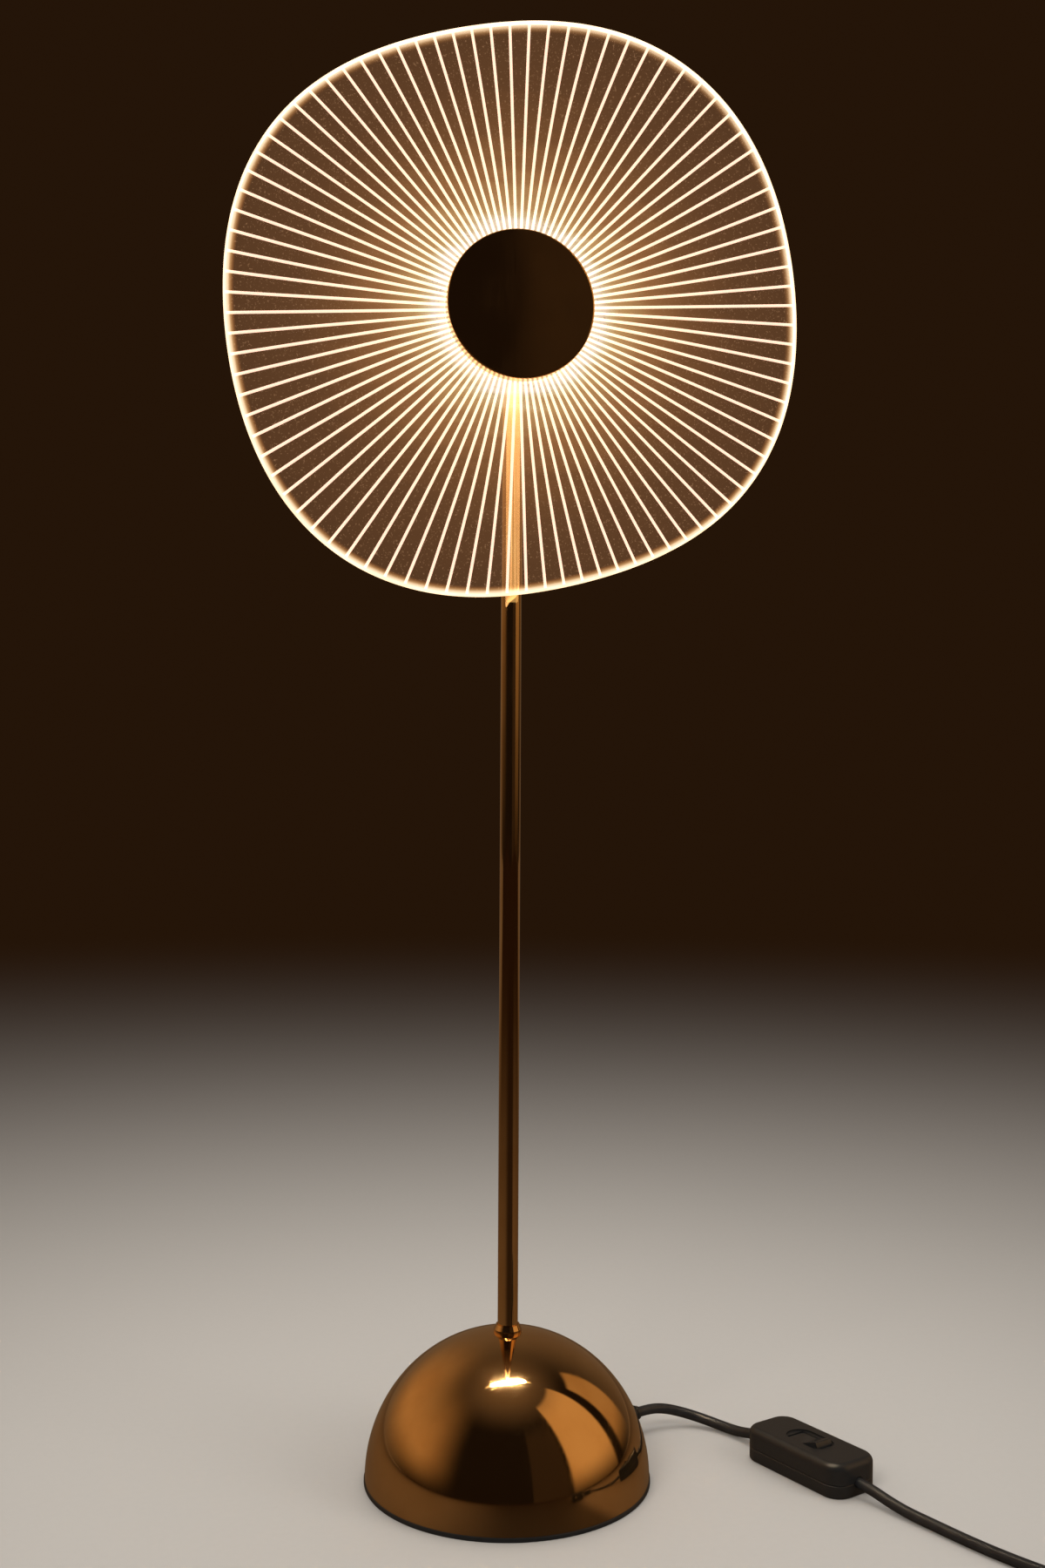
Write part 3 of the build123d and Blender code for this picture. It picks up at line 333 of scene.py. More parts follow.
# Woven tie: over and under threads
tieLook = {
    "colour": (0.016, 0.016, 0.017),
    "shade": (0.05, 0.05, 0.052),
    "threadScale": 420,
    "threadDepth": 0.0003,
    "fuzzScale": 3000,
    "fuzzShare": 0.3,
    "roughness": (0.75, 0.95),
}


def wovenFinish(graph, look):
    bands = [{"wave_type": "BANDS", "bands_direction": axis} for axis in "XZ"]
    across, along = [graph.wave(settings, graph.place(), look["threadScale"]) for settings in bands]
    weave = across * (1 - along) + along * (1 - across)
    fuzz = graph.noise(look["fuzzScale"], detail=2)
    shown = graph.weighed(weave, fuzz, look["fuzzShare"])
    return {
        "Base Color": graph.blend(shown, look["colour"], look["shade"]),
        "Roughness": graph.span(fuzz, *noiseSpan, *look["roughness"]),
        "Normal": graph.bump(weave + fuzz * look["fuzzShare"], look["threadDepth"]),
    }


materials["tie_fabric"] = makeMaterial("tie_fabric", wovenFinish, tieLook)

# Light disc: clear acrylic with frosted grooves and a bright cut edge. Its body glows warm near the hub and
#  less further out, with lit flecks of dust in it: partly its own scattered light, partly a painted halo.
#  Its outline is a soft rounded square, by a rule that the finish and the mesh share
discSetup = {
    "Mean Radius": 0.1422,
    "Square Share": 0.0258,
    "Square Turn": math.radians(55.9),
    "Oval Share": 0.0286,
    "Oval Turn": math.radians(37),
    "Hole Radius": 0.0246,
    "Thickness": 0.005,
    "Chamfer": 0.001,
    "Groove Start": 0.0335,
    "Groove Reach": 0.16,
    "Groove Width": 0.0014,
    "Groove Depth": 0.0007,
    "Groove Count": 90,
    "Outline Points": 720,
}
acrylicLook = {
    "clear": ((1.0, 0.985, 0.96), (0.975, 0.955, 0.925)),
    "refraction": 1.49,
    "hazeReach": (0.03, 0.15),  # metres from the hub's middle
    # glow of the clear body by distance from the hub: partly its own scattered light, partly a painted halo
    "haze": [
        (0, (0.6, 0.46, 0.28)), (0.085, (0.4, 0.31, 0.23)), (0.11, (0.32, 0.228, 0.124)),
        (0.15, (0.251, 0.144, 0.057)), (0.29, (0.141, 0.062, 0.0225)), (0.47, (0.0755, 0.0322, 0.012)),
        (0.65, (0.0495, 0.0217, 0.009)), (1, (0.0355, 0.016, 0.007)),
    ],
    "rimReach": 0.005,  # metres in from the edge
    "rim": [
        (0.2, (0.6, 0.5, 0.38)), (0.45, (0.45, 0.33, 0.2)), (0.58, (0.24, 0.14, 0.06)),
        (0.72, (0.13, 0.06, 0.02)), (0.86, (0.045, 0.016, 0.004)), (1, (0, 0, 0)),
    ],
    "fleck": (0.16, 0.085, 0.042),
    "fleckScale": 950,
    "fleckSpan": (0.63, 0.72),
    "wipeScale": (30, 30, 260),
    "wipeTurn": (0, 0.6, 0),  # radians
    "wipeShare": 0.16,
    "dustScale": 260,
    "dustSpan": (0.5, 0.8),
    "roughness": (0, 0.03),
}
grooveLook = {
    "frosted": ((0.42, 0.38, 0.32), (0.34, 0.3, 0.25)),
    "frostScale": 2400,
    "frostShare": 0.3,
    "roughness": (0.5, 0.7),
    "glowReach": (0.036, 0.13),  # metres from the hub's middle
    "glow": [(0, (0.98, 0.72, 0.48)), (0.3, (0.92, 0.61, 0.43)), (1, (0.86, 0.51, 0.4))],
    "strength": 1.5,
}
edgeLook = {
    "cut": ((0.5, 0.45, 0.38), (0.42, 0.37, 0.3)),
    "stripeScale": 90,
    "roughness": (0.2, 0.35),
    "glow": ((1.0, 0.71, 0.43), (0.88, 0.59, 0.34)),
    "strength": 1.7,
}


def hubDistance(graph):
    inputs = {0: graph.away(hub), 1: (1, 0, 1)}
    return graph.length(graph.add("ShaderNodeVectorMath", {"operation": "MULTIPLY"}, inputs))


def hubShare(graph, reach):
    near, far = reach
    return (hubDistance(graph) - near) / (far - near)


def outlineRadius(graph, angle, sizes):
    square = graph.maths("COSINE", (angle - sizes["Square Turn"]) * 4) * sizes["Square Share"]
    oval = graph.maths("COSINE", (angle - sizes["Oval Turn"]) * 2) * sizes["Oval Share"]
    return sizes["Mean Radius"] * (1 + square + oval)


def rimDistance(graph):
    away = graph.away(hub)
    angle = graph.maths("ARCTAN2", graph.part(away, "Z"), graph.part(away, "X"))
    return outlineRadius(graph, angle, discSetup) - hubDistance(graph)


def acrylicFinish(graph, look):
    wipes = graph.noise(1, detail=4, vector=graph.drawnOut(look["wipeScale"], look["wipeTurn"]))
    away = hubShare(graph, look["hazeReach"]) + (wipes - noiseMiddle) * look["wipeShare"]
    flecks = graph.span(graph.noise(look["fleckScale"], detail=2), *look["fleckSpan"])
    dust = graph.noise(look["dustScale"], detail=5)
    # emission between the grooves: the acrylic's own glow with a painted halo round the hub, and glowing
    # flecks
    haze = graph.blend(flecks, graph.ramp(away, look["haze"]), look["fleck"])
    rim = graph.ramp(rimDistance(graph) / look["rimReach"], look["rim"])
    return {
        "Base Color": graph.blend(dust, *look["clear"]),
        "Roughness": graph.span(dust, *look["dustSpan"], *look["roughness"]),
        "Transmission Weight": 1,
        "IOR": look["refraction"],
        "Emission Color": graph.blend(1, haze, rim, "ADD"),
        "Emission Strength": 1,
    }


def grooveFinish(graph, look):
    frost = graph.noise(look["frostScale"], detail=2)
    away = hubShare(graph, look["glowReach"]) + (frost - noiseMiddle) * look["frostShare"]
    return {
        "Base Color": graph.blend(frost, *look["frosted"]),
        "Roughness": graph.span(frost, *noiseSpan, *look["roughness"]),
        "Emission Color": graph.ramp(away, look["glow"]),
        "Emission Strength": look["strength"],
    }


def edgeFinish(graph, look):
    stripes = graph.noise(look["stripeScale"], detail=2)
    return {
        "Base Color": graph.blend(stripes, *look["cut"]),
        "Roughness": graph.span(stripes, *noiseSpan, *look["roughness"]),
        "Emission Color": graph.blend(graph.span(stripes, *patchSpan), *look["glow"]),
        "Emission Strength": look["strength"],
    }


materials["clear_acrylic"] = makeMaterial("clear_acrylic", acrylicFinish, acrylicLook)
discGlows = {
    "Groove": makeMaterial("groove_glow", grooveFinish, grooveLook),
    "Edge": makeMaterial("edge_glow", edgeFinish, edgeLook),
}
print("materials:", len(materials) + len(discGlows))

# Every carried-over node gets its slot's finish
for part in frame["record"]["subparts"]:
    nodes[part["node"]].material_slots[0].material = materials[part["material_slot"]]


def dress(piece, body, slot, *replaced):
    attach(piece, body)
    if replaced:
        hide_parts(*replaced)


# Cord: from the lamp to the switch, then on to the put-away coil and the plug. Millimetres and degrees
switchPlace = {"centre": (149.7, -19.9, 6.4), "heading": -65.5, "halfLength": 33, "entry": 6, "approach": 5}
cordSetup = {
    "radius": 2.6,
    "glandAzimuth": 28.5,
    "glandReach": 87.457,
    "glandLevel": 11,
    "glandLead": 9,
    "toSwitch": [
        (94.3, 48.5, 9.6),
        (104.4, 47.8, 6.9),
        (113.9, 43.6, 4.5),
        (121.9, 36.0, 3.1),
        (128.4, 25.8, 3.4),
    ],
    "toCoil": [
        (173.9, -73.2, 3.2),
        (183.6, -91.8, 2.7),
        (192.6, -110.4, 2.6),
        (203.3, -129.2, 2.6),
        (216.6, -148.6, 2.7),
        (230.4, -167.4, 3.2),
    ],
    "coilStart": (249.0, -200.4, 3.7),
    "coilHeading": -60,
    "coilStraight": 5.2,
    "coilLeadIn": 14,
    "coilOuter": 40.75,
    "coilPitch": 5.7,
    "halfTurnsIn": 7,
    "pointsPerHalfTurn": 12,
    "tail": 27,
    "tailShares": (0.3, 0.65, 1),
}


def heading(degrees):
    return Vector((math.cos(math.radians(degrees)), math.sin(math.radians(degrees)), 0))


def switchPoint(along):
    return Vector(switchPlace["centre"]) + heading(switchPlace["heading"]) * along


def coilPoints(setup):
    way = heading(setup["coilHeading"])
    outward = heading(setup["coilHeading"] + 90)
    centre = Vector(setup["coilStart"]) - outward * setup["coilOuter"]
    count = setup["pointsPerHalfTurn"]
    swell = 1 / math.cos(math.pi / count / 2)  # control points stand a little outside the turn
    points = []
    place, level = setup["coilOuter"], 0
    for halfTurn in range(2 * setup["halfTurnsIn"] + 1):
        stepsIn = setup["halfTurnsIn"] - abs(setup["halfTurnsIn"] - halfTurn)
        radius = setup["coilOuter"] - stepsIn * setup["coilPitch"] / 2
        climb = setup["coilPitch"] if halfTurn == setup["halfTurnsIn"] else 0
        side = 1 if halfTurn % 2 == 0 else -1
        middle = place - side * radius
        for step in range(count):
            share = (step + 0.5) / count
            across = middle + side * radius * swell * math.cos(math.pi * share)
            ahead = side * radius * swell * math.sin(math.pi * share)
            points.append(centre + outward * across + way * ahead + Vector((0, 0, level + climb * share)))
        place -= 2 * side * radius
        level += climb
    end = centre + outward * place + Vector((0, 0, level))
    return points + [end - way * setup["tail"] * share for share in setup["tailShares"]]


def makeCord(name, points):
    curve = bpy.data.curves.new(name, "CURVE")
    curve.dimensions = "3D"
    curve.bevel_depth = cordSetup["radius"] * mm
    curve.bevel_resolution = 5
    curve.resolution_u = 6
    curve.use_fill_caps = True
    spline = curve.splines.new("NURBS")
    spline.points.add(len(points) - 1)
    for target, point in zip(spline.points, points):
        target.co = (*(Vector(point) * mm), 1)
    spline.order_u = 3
    spline.use_endpoint_u = True
    curve.materials.append(materials["black_cord"])
    piece = bpy.data.objects.new(name, curve)
    scene.collection.objects.link(piece)
    return piece


def layCords(setup):
    out = heading(setup["glandAzimuth"])
    glandEnd = out * setup["glandReach"] + Vector((0, 0, setup["glandLevel"]))
    inside = switchPlace["halfLength"] - switchPlace["entry"]
    outside = switchPlace["halfLength"] + switchPlace["approach"]
    first = [glandEnd, glandEnd + out * setup["glandLead"], *setup["toSwitch"]]
    first += [switchPoint(-outside), switchPoint(-inside)]
    way = heading(setup["coilHeading"])
    coilStart = Vector(setup["coilStart"])
    straight, leadIn = setup["coilStraight"], setup["coilLeadIn"]
    second = [switchPoint(inside), switchPoint(outside), *setup["toCoil"]]
    second += [coilStart - way * (straight + leadIn), coilStart - way * straight]
    second += coilPoints(setup)
    ends = (glandEnd, second[-1])
    return makeCord("cord_lamp_to_switch", first), makeCord("cord_switch_to_plug", second), ends


lampCord, plugCord, (glandEnd, plugStart) = layCords(cordSetup)
dress(lampCord, "lamp", "black_cord", "cord_to_switch")
dress(plugCord, "lamp", "black_cord", "cord_to_coil", "cord_coil")
print("cords: laid")


# Geometry trees: each is grown once on a bare holder and kept as a plain mesh
def newTree(name, setup, slots):
    tree = bpy.data.node_groups.new(name, "GeometryNodeTree")
    for key, value in setup.items():
        kind = "NodeSocketInt" if isinstance(value, int) else "NodeSocketFloat"
        tree.interface.new_socket(key, in_out="INPUT", socket_type=kind)
    for key in slots:
        tree.interface.new_socket(key, in_out="INPUT", socket_type="NodeSocketMaterial")
    tree.interface.new_socket("Geometry", in_out="OUTPUT", socket_type="NodeSocketGeometry")
    graph = Graph(tree)
    entry = tree.nodes.new("NodeGroupInput")
    given = {key: Socket(graph, entry.outputs[key]) for key in [*setup, *slots]}
    return tree, graph, given


def coated(graph, geometry, material, where=True):
    inputs = {"Geometry": geometry, "Selection": where, "Material": material}
    return graph.add("GeometryNodeSetMaterial", {}, inputs)


def endTree(graph, geometry, material, where=True):
    whole = graph.add("GeometryNodeRealizeInstances", {}, {0: geometry})
    graph.add("NodeGroupOutput", {}, {0: coated(graph, whole, material, where)})


def growMesh(name, tree, values):
    holder = bpy.data.objects.new(name + "_grower", bpy.data.meshes.new(name + "_grower"))
    scene.collection.objects.link(holder)
    modifier = holder.modifiers.new(name, "NODES")
    modifier.node_group = tree
    for item in tree.interface.items_tree:
        if item.in_out == "INPUT":
            modifier[item.identifier] = values[item.name]
    depsgraph = bpy.context.evaluated_depsgraph_get()
    mesh = bpy.data.meshes.new_from_object(holder.evaluated_get(depsgraph), depsgraph=depsgraph)
    holder.modifiers.remove(modifier)
    bpy.data.objects.remove(holder)
    mesh.name = name
    piece = bpy.data.objects.new(name, mesh)
    scene.collection.objects.link(piece)
    return piece


# a closed section, given corner by corner, to be carried round the Z axis
def lathe(graph, steps, radii, heights):
    rows = len(radii)
    grid = graph.add("GeometryNodeMeshGrid", {}, {"Vertices X": steps + 1, "Vertices Y": rows})
    index = graph.add("GeometryNodeInputIndex")
    corner = graph.maths("MODULO", index, float(rows))
    angle = graph.maths("FLOOR", index / float(rows)) * (2 * math.pi) / steps
    picks = []
    for values in (radii, heights):
        inputs = {0: corner, **{place + 1: value for place, value in enumerate(values)}}
        picks.append(graph.add("GeometryNodeIndexSwitch", {"data_type": "FLOAT", "choices": rows}, inputs))
    return grid, angle, *picks


def onCircle(graph, angle, radius, height):
    return graph.vector(graph.maths("COSINE", angle) * radius, graph.maths("SINE", angle) * radius, height)


def spun(graph, grid, angle, radius, height):
    inputs = {"Geometry": grid, "Position": onCircle(graph, angle, radius, height)}
    placed = graph.add("GeometryNodeSetPosition", {}, inputs)
    return graph.add("GeometryNodeMergeByDistance", {}, {"Geometry": placed, "Distance": mergeGap})


def crisped(graph, geometry, degrees):
    steep = graph.add("GeometryNodeInputMeshEdgeAngle") - math.radians(degrees)
    inputs = {"Geometry": geometry, "Shade Smooth": True}
    soft = graph.add("GeometryNodeSetShadeSmooth", {"domain": "FACE"}, inputs)
    inputs = {"Geometry": soft, "Selection": steep, "Shade Smooth": False}
    return graph.add("GeometryNodeSetShadeSmooth", {"domain": "EDGE"}, inputs)


def cutBy(graph, body, cutter):
    settings = {"operation": "DIFFERENCE", "solver": "EXACT"}
    return graph.add("GeometryNodeMeshBoolean", settings, {"Mesh 1": body, "Mesh 2": cutter})


def repeated(graph, points, piece, **inputs):
    inputs = {"Points": points, "Instance": piece, **inputs}
    return graph.add("GeometryNodeInstanceOnPoints", {}, inputs)


# Light disc: the slab is spun along its outline, then cut by radial grooves on its back
discForm = {
    "cutterSpare": 0.0003,  # metres that a groove's cutter stands out of the slab
    "crease": 25,  # degrees, as in every form below
    "flatFrom": 0.98,  # how far a face looks forward or back to count as clear
}


def discTree(setup, form):
    tree, graph, given = newTree("discTree", setup, ["Clear", "Groove", "Edge"])
    add = graph.add
    thick, chamfer, hole = given["Thickness"], given["Chamfer"], given["Hole Radius"]
    # corners of the section: the reach counts from the hole outwards, the inset from the edge inwards
    reaches = [0.0, 1.0, 1.0, 1.0, 1.0, 0.0, 0.0]
    levels = [0.0, 0.0, chamfer, thick - chamfer, thick, thick, 0.0]
    grid, angle, reach, level = lathe(graph, given["Outline Points"], reaches, levels)
    outline = outlineRadius(graph, angle, given)
    inset = graph.maths("MAXIMUM", chamfer - level, level - thick + chamfer)
    inset = graph.maths("MAXIMUM", inset, 0.0)
    slab = spun(graph, grid, angle, hole + reach * (outline - inset - hole), level)
    # one groove's cutter: a three-sided bar with its ridge up in the slab
    start, deep = given["Groove Start"], given["Groove Depth"]
    length, tall = given["Groove Reach"] - start, deep + form["cutterSpare"]
    barWide, barTall = math.sqrt(3), 1.5  # of a three-sided bar with a radius of 1
    bar = add("GeometryNodeMeshCylinder", {}, {"Vertices": 3, "Radius": 1.0, "Depth": 1.0})
    lying = add("GeometryNodeTransform", {}, {"Geometry": bar, "Rotation": (0, math.radians(-90), 0)})
    sizes = graph.vector(length, given["Groove Width"] * tall / deep / barWide, tall / barTall)
    middle = graph.vector(start + length / 2, 0.0, deep - tall / barTall)
    cutter = add("GeometryNodeTransform", {}, {"Geometry": lying, "Translation": middle, "Scale": sizes})
    seeds = add("GeometryNodePoints", {}, {"Count": given["Groove Count"]})
    turn = add("GeometryNodeInputIndex") * (2 * math.pi) / given["Groove Count"]
    fan = repeated(graph, seeds, cutter, Rotation=graph.vector(0.0, 0.0, turn))
    fan = add("GeometryNodeRealizeInstances", {}, {0: fan})
    cut = cutBy(graph, coated(graph, slab, given["Edge"]), coated(graph, fan, given["Groove"]))
    upright = {"Geometry": crisped(graph, cut, form["crease"]), "Rotation": (math.radians(90), 0, 0)}
    flat = graph.maths("ABSOLUTE", graph.part(add("GeometryNodeInputNormal"), "Y")) - form["flatFrom"]
    endTree(graph, add("GeometryNodeTransform", {}, upright), given["Clear"], flat)
    return tree


def makeDisc(setup):
    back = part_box("light_disc")[1].y
    values = {**setup, "Clear": materials["clear_acrylic"], **discGlows}
    disc = growMesh("lit_disc", discTree(setup, discForm), values)
    for vertex in disc.data.vertices:
        vertex.co += Vector((0, back, 0)) + Vector(hub)
    disc.visible_shadow = False
    dress(disc, "lamp", "clear_acrylic", "light_disc")
    return disc


disc = makeDisc(discSetup)
print("disc:", len(disc.data.polygons), "faces")

# Screws with driver recesses, repeated round a circle. Each stands head up at the origin until it is placed
screwForm = {
    "steps": 40,
    "tipShare": 0.7,  # of the shank's radius
    "tipLength": 0.0006,
    "slotShare": 0.5,  # width of a cross's arms, as a share of their reach
    "driven": (0.3, 1.1),  # radians that the first is turned home, and each one further
    "crease": 30,
}
screwHeads = {  # section of a head, in shares of its radius and of its height
    "button": [(0, 0), (0.5, 0), (0.76, 0.09), (0.93, 0.31), (1, 0.62), (1, 1)],
    "countersunk": [(0, 0), (0.96, 0), (1, 0.06)],
    "pan": [(0, 0), (0.78, 0), (0.94, 0.12), (1, 0.36), (1, 1)],
    "grub": [(0, 0), (0.86, 0), (1, 0.4)],
}
screwSetups = {  # millimetres and degrees
    "hub_screws": {
        "replaces": "cap_screws", "head": "button", "crossed": False,
        "facing": (0, 1, 0), "centre": (0, 0, 572),
        "sizes": {"Head Radius": 2.8, "Head Height": 1.8, "Shank Radius": 1.5, "Recess Radius": 1.45,
                  "Recess Depth": 1.1, "Circle Radius": 14.0, "First Turn": -90.0, "Count": 3},
    },
    "foot_screws": {
        "replaces": "cover_screws", "head": "countersunk", "crossed": True,
        "facing": (0, 0, -1), "centre": (0, 0, 0),
        "sizes": {"Head Radius": 2.8, "Head Height": 1.5, "Shank Radius": 1.5, "Recess Radius": 1.5,
                  "Recess Depth": 1.0, "Circle Radius": 45.0, "First Turn": -88.5, "Count": 3},
    },
    "switch_screws": {
        "replaces": "shell_screws", "head": "pan", "crossed": True,
        "facing": (0, 0, -1), "centre": (149.7, -19.9, 0),
        "sizes": {"Head Radius": 2.4, "Head Height": 1.35, "Shank Radius": 1.3, "Recess Radius": 1.3,
                  "Recess Depth": 0.9, "Circle Radius": 24.698, "First Turn": 44.13, "Count": 2},
    },
    "stem_grub": {
        "replaces": "grub_screw", "head": "grub", "crossed": False,
        "facing": (0, 1, 0), "centre": (0, 0, 548),
        "sizes": {"Head Radius": 2.0, "Head Height": 1.0, "Shank Radius": 2.0, "Recess Radius": 1.15,
                  "Recess Depth": 1.6, "Circle Radius": 0.0, "First Turn": 0.0, "Count": 1},
    },
}


def screwTree(name, setup, head, crossed, form):
    tree, graph, given = newTree(name + "Tree", setup, ["Steel"])
    add = graph.add
    wide, tall, shank = given["Head Radius"], given["Head Height"], given["Shank Radius"]
    length = given["Length"]
    radii = [wide * across for across, down in head] + [shank, shank, shank * form["tipShare"], 0.0]
    heights = [tall * -down for across, down in head]
    heights += [0 - tall, form["tipLength"] - length, 0 - length, 0 - length]
    body = spun(graph, *lathe(graph, form["steps"], radii, heights))
    reach, deep = given["Recess Radius"], given["Recess Depth"] * 2  # half of it stands above the head
    if crossed:
        long, slim = reach * 2, reach * form["slotShare"]
        bars = [graph.vector(long, slim, deep), graph.vector(slim, long, deep)]
        cutters = [add("GeometryNodeMeshCube", {}, {"Size": size}) for size in bars]
    else:
        cutters = [add("GeometryNodeMeshCylinder", {}, {"Vertices": 6, "Radius": reach, "Depth": deep})]
    for cutter in cutters:
        body = cutBy(graph, body, cutter)
    index = add("GeometryNodeInputIndex")
    turn = given["First Turn"] + index * (2 * math.pi) / given["Count"]
    spot = onCircle(graph, turn, given["Circle Radius"], 0.0)
    seeds = add("GeometryNodePoints", {}, {"Count": given["Count"], "Position": spot})
    first, further = form["driven"]
    driven = graph.vector(0.0, 0.0, index * further + first)
    row = repeated(graph, seeds, crisped(graph, body, form["crease"]), Rotation=driven)
    endTree(graph, row, given["Steel"])
    return tree


def makeScrews(name, setup):
    low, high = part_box(setup["replaces"])
    facing = Vector(setup["facing"])
    sizes = {key: value * mm if isinstance(value, float) else value
             for key, value in setup["sizes"].items()}
    sizes["First Turn"] = math.radians(setup["sizes"]["First Turn"])
    sizes["Length"] = abs((high - low).dot(facing))
    tree = screwTree(name, sizes, screwHeads[setup["head"]], setup["crossed"], screwForm)
    piece = growMesh(name, tree, {**sizes, "Steel": materials["screw_steel"]})
    centre = Vector(setup["centre"]) * mm
    centre += facing * ((high if sum(facing) > 0 else low) - centre).dot(facing)
    turned = Matrix.Rotation(math.radians(-90 if facing.y else 180), 4, "X")
    piece.data.transform(Matrix.Translation(centre) @ turned)
    dress(piece, "lamp", "screw_steel", setup["replaces"])
    return piece


screws = {name: makeScrews(name, setup) for name, setup in screwSetups.items()}
print("screws:", len(screws), "sets")

# Ribs along the two tapered strain reliefs
ribForm = {
    "steps": 48,
    "root": 0.9,  # share of the relief's radius, so that a rib sits in it
    "shoulder": 0.75,  # share of a rib's height
    "shoulderOut": 0.86,  # shares of half a rib's width
    "top": 0.5,
    "crease": 40,
}
ribStarts = {"gland_ribs": -14.4, "boot_ribs": 2}  # millimetres from the cord's end to the first rib
ribSetups = {
    "gland_ribs": {"First Radius": 0.00468, "Last Radius": 0.00363, "Run": 0.0125,
                   "Rib Width": 0.0011, "Rib Share": 0.11, "Count": 7},
    "boot_ribs": {"First Radius": 0.00396, "Last Radius": 0.00524, "Run": 0.016,
                  "Rib Width": 0.0011, "Rib Share": 0.12, "Count": 8},
}


def ribTree(name, setup, form):
    tree, graph, given = newTree(name + "Tree", setup, ["Rubber"])
    add = graph.add
    half, proud = given["Rib Width"] / 2, 1 + given["Rib Share"]
    shoulder = 1 + given["Rib Share"] * form["shoulder"]
    root, out, top = form["root"], form["shoulderOut"], form["top"]
    radii = [root, 1.0, shoulder, proud, proud, shoulder, 1.0, root, root]
    heights = [0 - half, 0 - half, half * -out, half * -top, half * top, half * out, half, half, 0 - half]
    ring = spun(graph, *lathe(graph, form["steps"], radii, heights))
    share = add("GeometryNodeInputIndex") / (given["Count"] - 1)
    spot = graph.vector(0.0, 0.0, share * given["Run"])
    seeds = add("GeometryNodePoints", {}, {"Count": given["Count"], "Position": spot})
    size = given["First Radius"] + share * (given["Last Radius"] - given["First Radius"])
    row = repeated(graph, seeds, crisped(graph, ring, form["crease"]), Scale=graph.vector(size, size, 1.0))
    endTree(graph, row, given["Rubber"])
    return tree


def makeRibs(name, cordEnd, way):
    setup = ribSetups[name]
    piece = growMesh(name, ribTree(name, setup, ribForm), {**setup, "Rubber": materials["black_plastic"]})
    start = (cordEnd + way * ribStarts[name]) * mm
    piece.data.transform(Matrix.Translation(start) @ way.to_track_quat("Z", "Y").to_matrix().to_4x4())
    dress(piece, "lamp", "black_plastic")
    return piece


glandWay, plugWay = heading(cordSetup["glandAzimuth"]), heading(cordSetup["coilHeading"] + 180)
glandRibs = makeRibs("gland_ribs", glandEnd, glandWay)
bootRibs = makeRibs("boot_ribs", plugStart, plugWay)
print("ribs: gland", len(glandRibs.data.polygons), "and boot", len(bootRibs.data.polygons), "faces")

# Plug: rounded sections from the boot to the face, with a slim waist and four grip ridges. Millimetres
plugSetup = {
    "bootLength": 20,
    "bootRadii": (3.8, 5.4),
    "sections": [  # from the cord's end, width, height
        (20, 10.8, 10.8), (20.6, 13.4, 11.6), (22.5, 15.6, 12.7), (26, 19.4, 14.9), (30, 23.4, 17),
        (33.5, 26, 18), (36, 27, 18), (48, 29.8, 17.6), (52, 32.4, 18.5), (54, 34, 18.8),
        (56.8, 34.8, 18.8), (57.6, 34.2, 18.2), (58, 32.8, 16.8),
    ],
    "ridges": (38, 40.6, 43.2, 45.8),
    "ridge": (0.55, 0.42),  # half width, height
    "ridgeTop": 0.6,  # its flat, as a share of the width
    "corner": 5.4,
    "cornerPoints": 9,
    "leastFlat": 0.01,  # kept on each half of a side
    "crease": 32,
}


def sectionSize(sections, along):
    for (start, wide, tall), (end, nextWide, nextTall) in zip(sections, sections[1:]):
        if start <= along <= end:
            share = (along - start) / (end - start)
            return wide + (nextWide - wide) * share, tall + (nextTall - tall) * share


def roundedSection(width, height, corner, setup):
    count, flat = setup["cornerPoints"], setup["leastFlat"]
    radius = min(corner, width / 2 - flat, height / 2 - flat)
    points = []
    for quarter, (sideX, sideY) in enumerate(((1, 1), (-1, 1), (-1, -1), (1, -1))):
        for step in range(count):
            angle = math.radians(90) * (quarter + step / (count - 1))
            points.append((sideX * (width / 2 - radius) + radius * math.cos(angle),
                           sideY * (height / 2 - radius) + radius * math.sin(angle)))
    return points


def plugRows(setup):
    tip, root = setup["bootRadii"]
    rows = [(0, 2 * tip, 2 * tip), (setup["bootLength"], 2 * root, 2 * root), *setup["sections"]]
    half, proud = setup["ridge"]
    top = half * setup["ridgeTop"]
    for ridge in setup["ridges"]:
        for offset, lift in ((-half, 0), (-top, proud), (top, proud), (half, 0)):
            wide, tall = sectionSize(setup["sections"], ridge + offset)
            rows.append((ridge + offset, wide + 2 * lift, tall + 2 * lift))
    return sorted(rows)


def makePlug(setup):
    across = Vector((-plugWay.y, plugWay.x, 0))
    mesh = bmesh.new()
    rings = []
    for along, wide, tall in plugRows(setup):
        corner = setup["corner"] if along >= setup["bootLength"] else wide / 2
        outline = roundedSection(wide, tall, corner, setup)
        centre = plugStart + plugWay * along
        rings.append([mesh.verts.new((centre + across * u + Vector((0, 0, v))) * mm) for u, v in outline])
    for ring, after in zip(rings, rings[1:]):
        for place in range(len(ring)):
            mesh.faces.new((ring[place - 1], ring[place], after[place], after[place - 1]))
    mesh.faces.new(rings[0])
    mesh.faces.new(rings[-1])
    bmesh.ops.remove_doubles(mesh, verts=mesh.verts, dist=mergeGap)
    bmesh.ops.recalc_face_normals(mesh, faces=mesh.faces)
    for edge in mesh.edges:
        edge.smooth = edge.calc_face_angle(0) < math.radians(setup["crease"])
    for face in mesh.faces:
        face.smooth = True
    data = bpy.data.meshes.new("plug_shell")
    mesh.to_mesh(data)
    mesh.free()
    data.materials.append(materials["black_plastic"])
    piece = bpy.data.objects.new("plug_shell", data)
    scene.collection.objects.link(piece)
    dress(piece, "lamp", "black_plastic", "plug_body")
    return piece


plugShell = makePlug(plugSetup)
print("plug:", len(plugShell.data.polygons), "faces")

# The gland's end and the switch's far end, in metres, worked out here and not kept
glandEnd * mm
switchPoint(switchPlace["halfLength"]) * mm

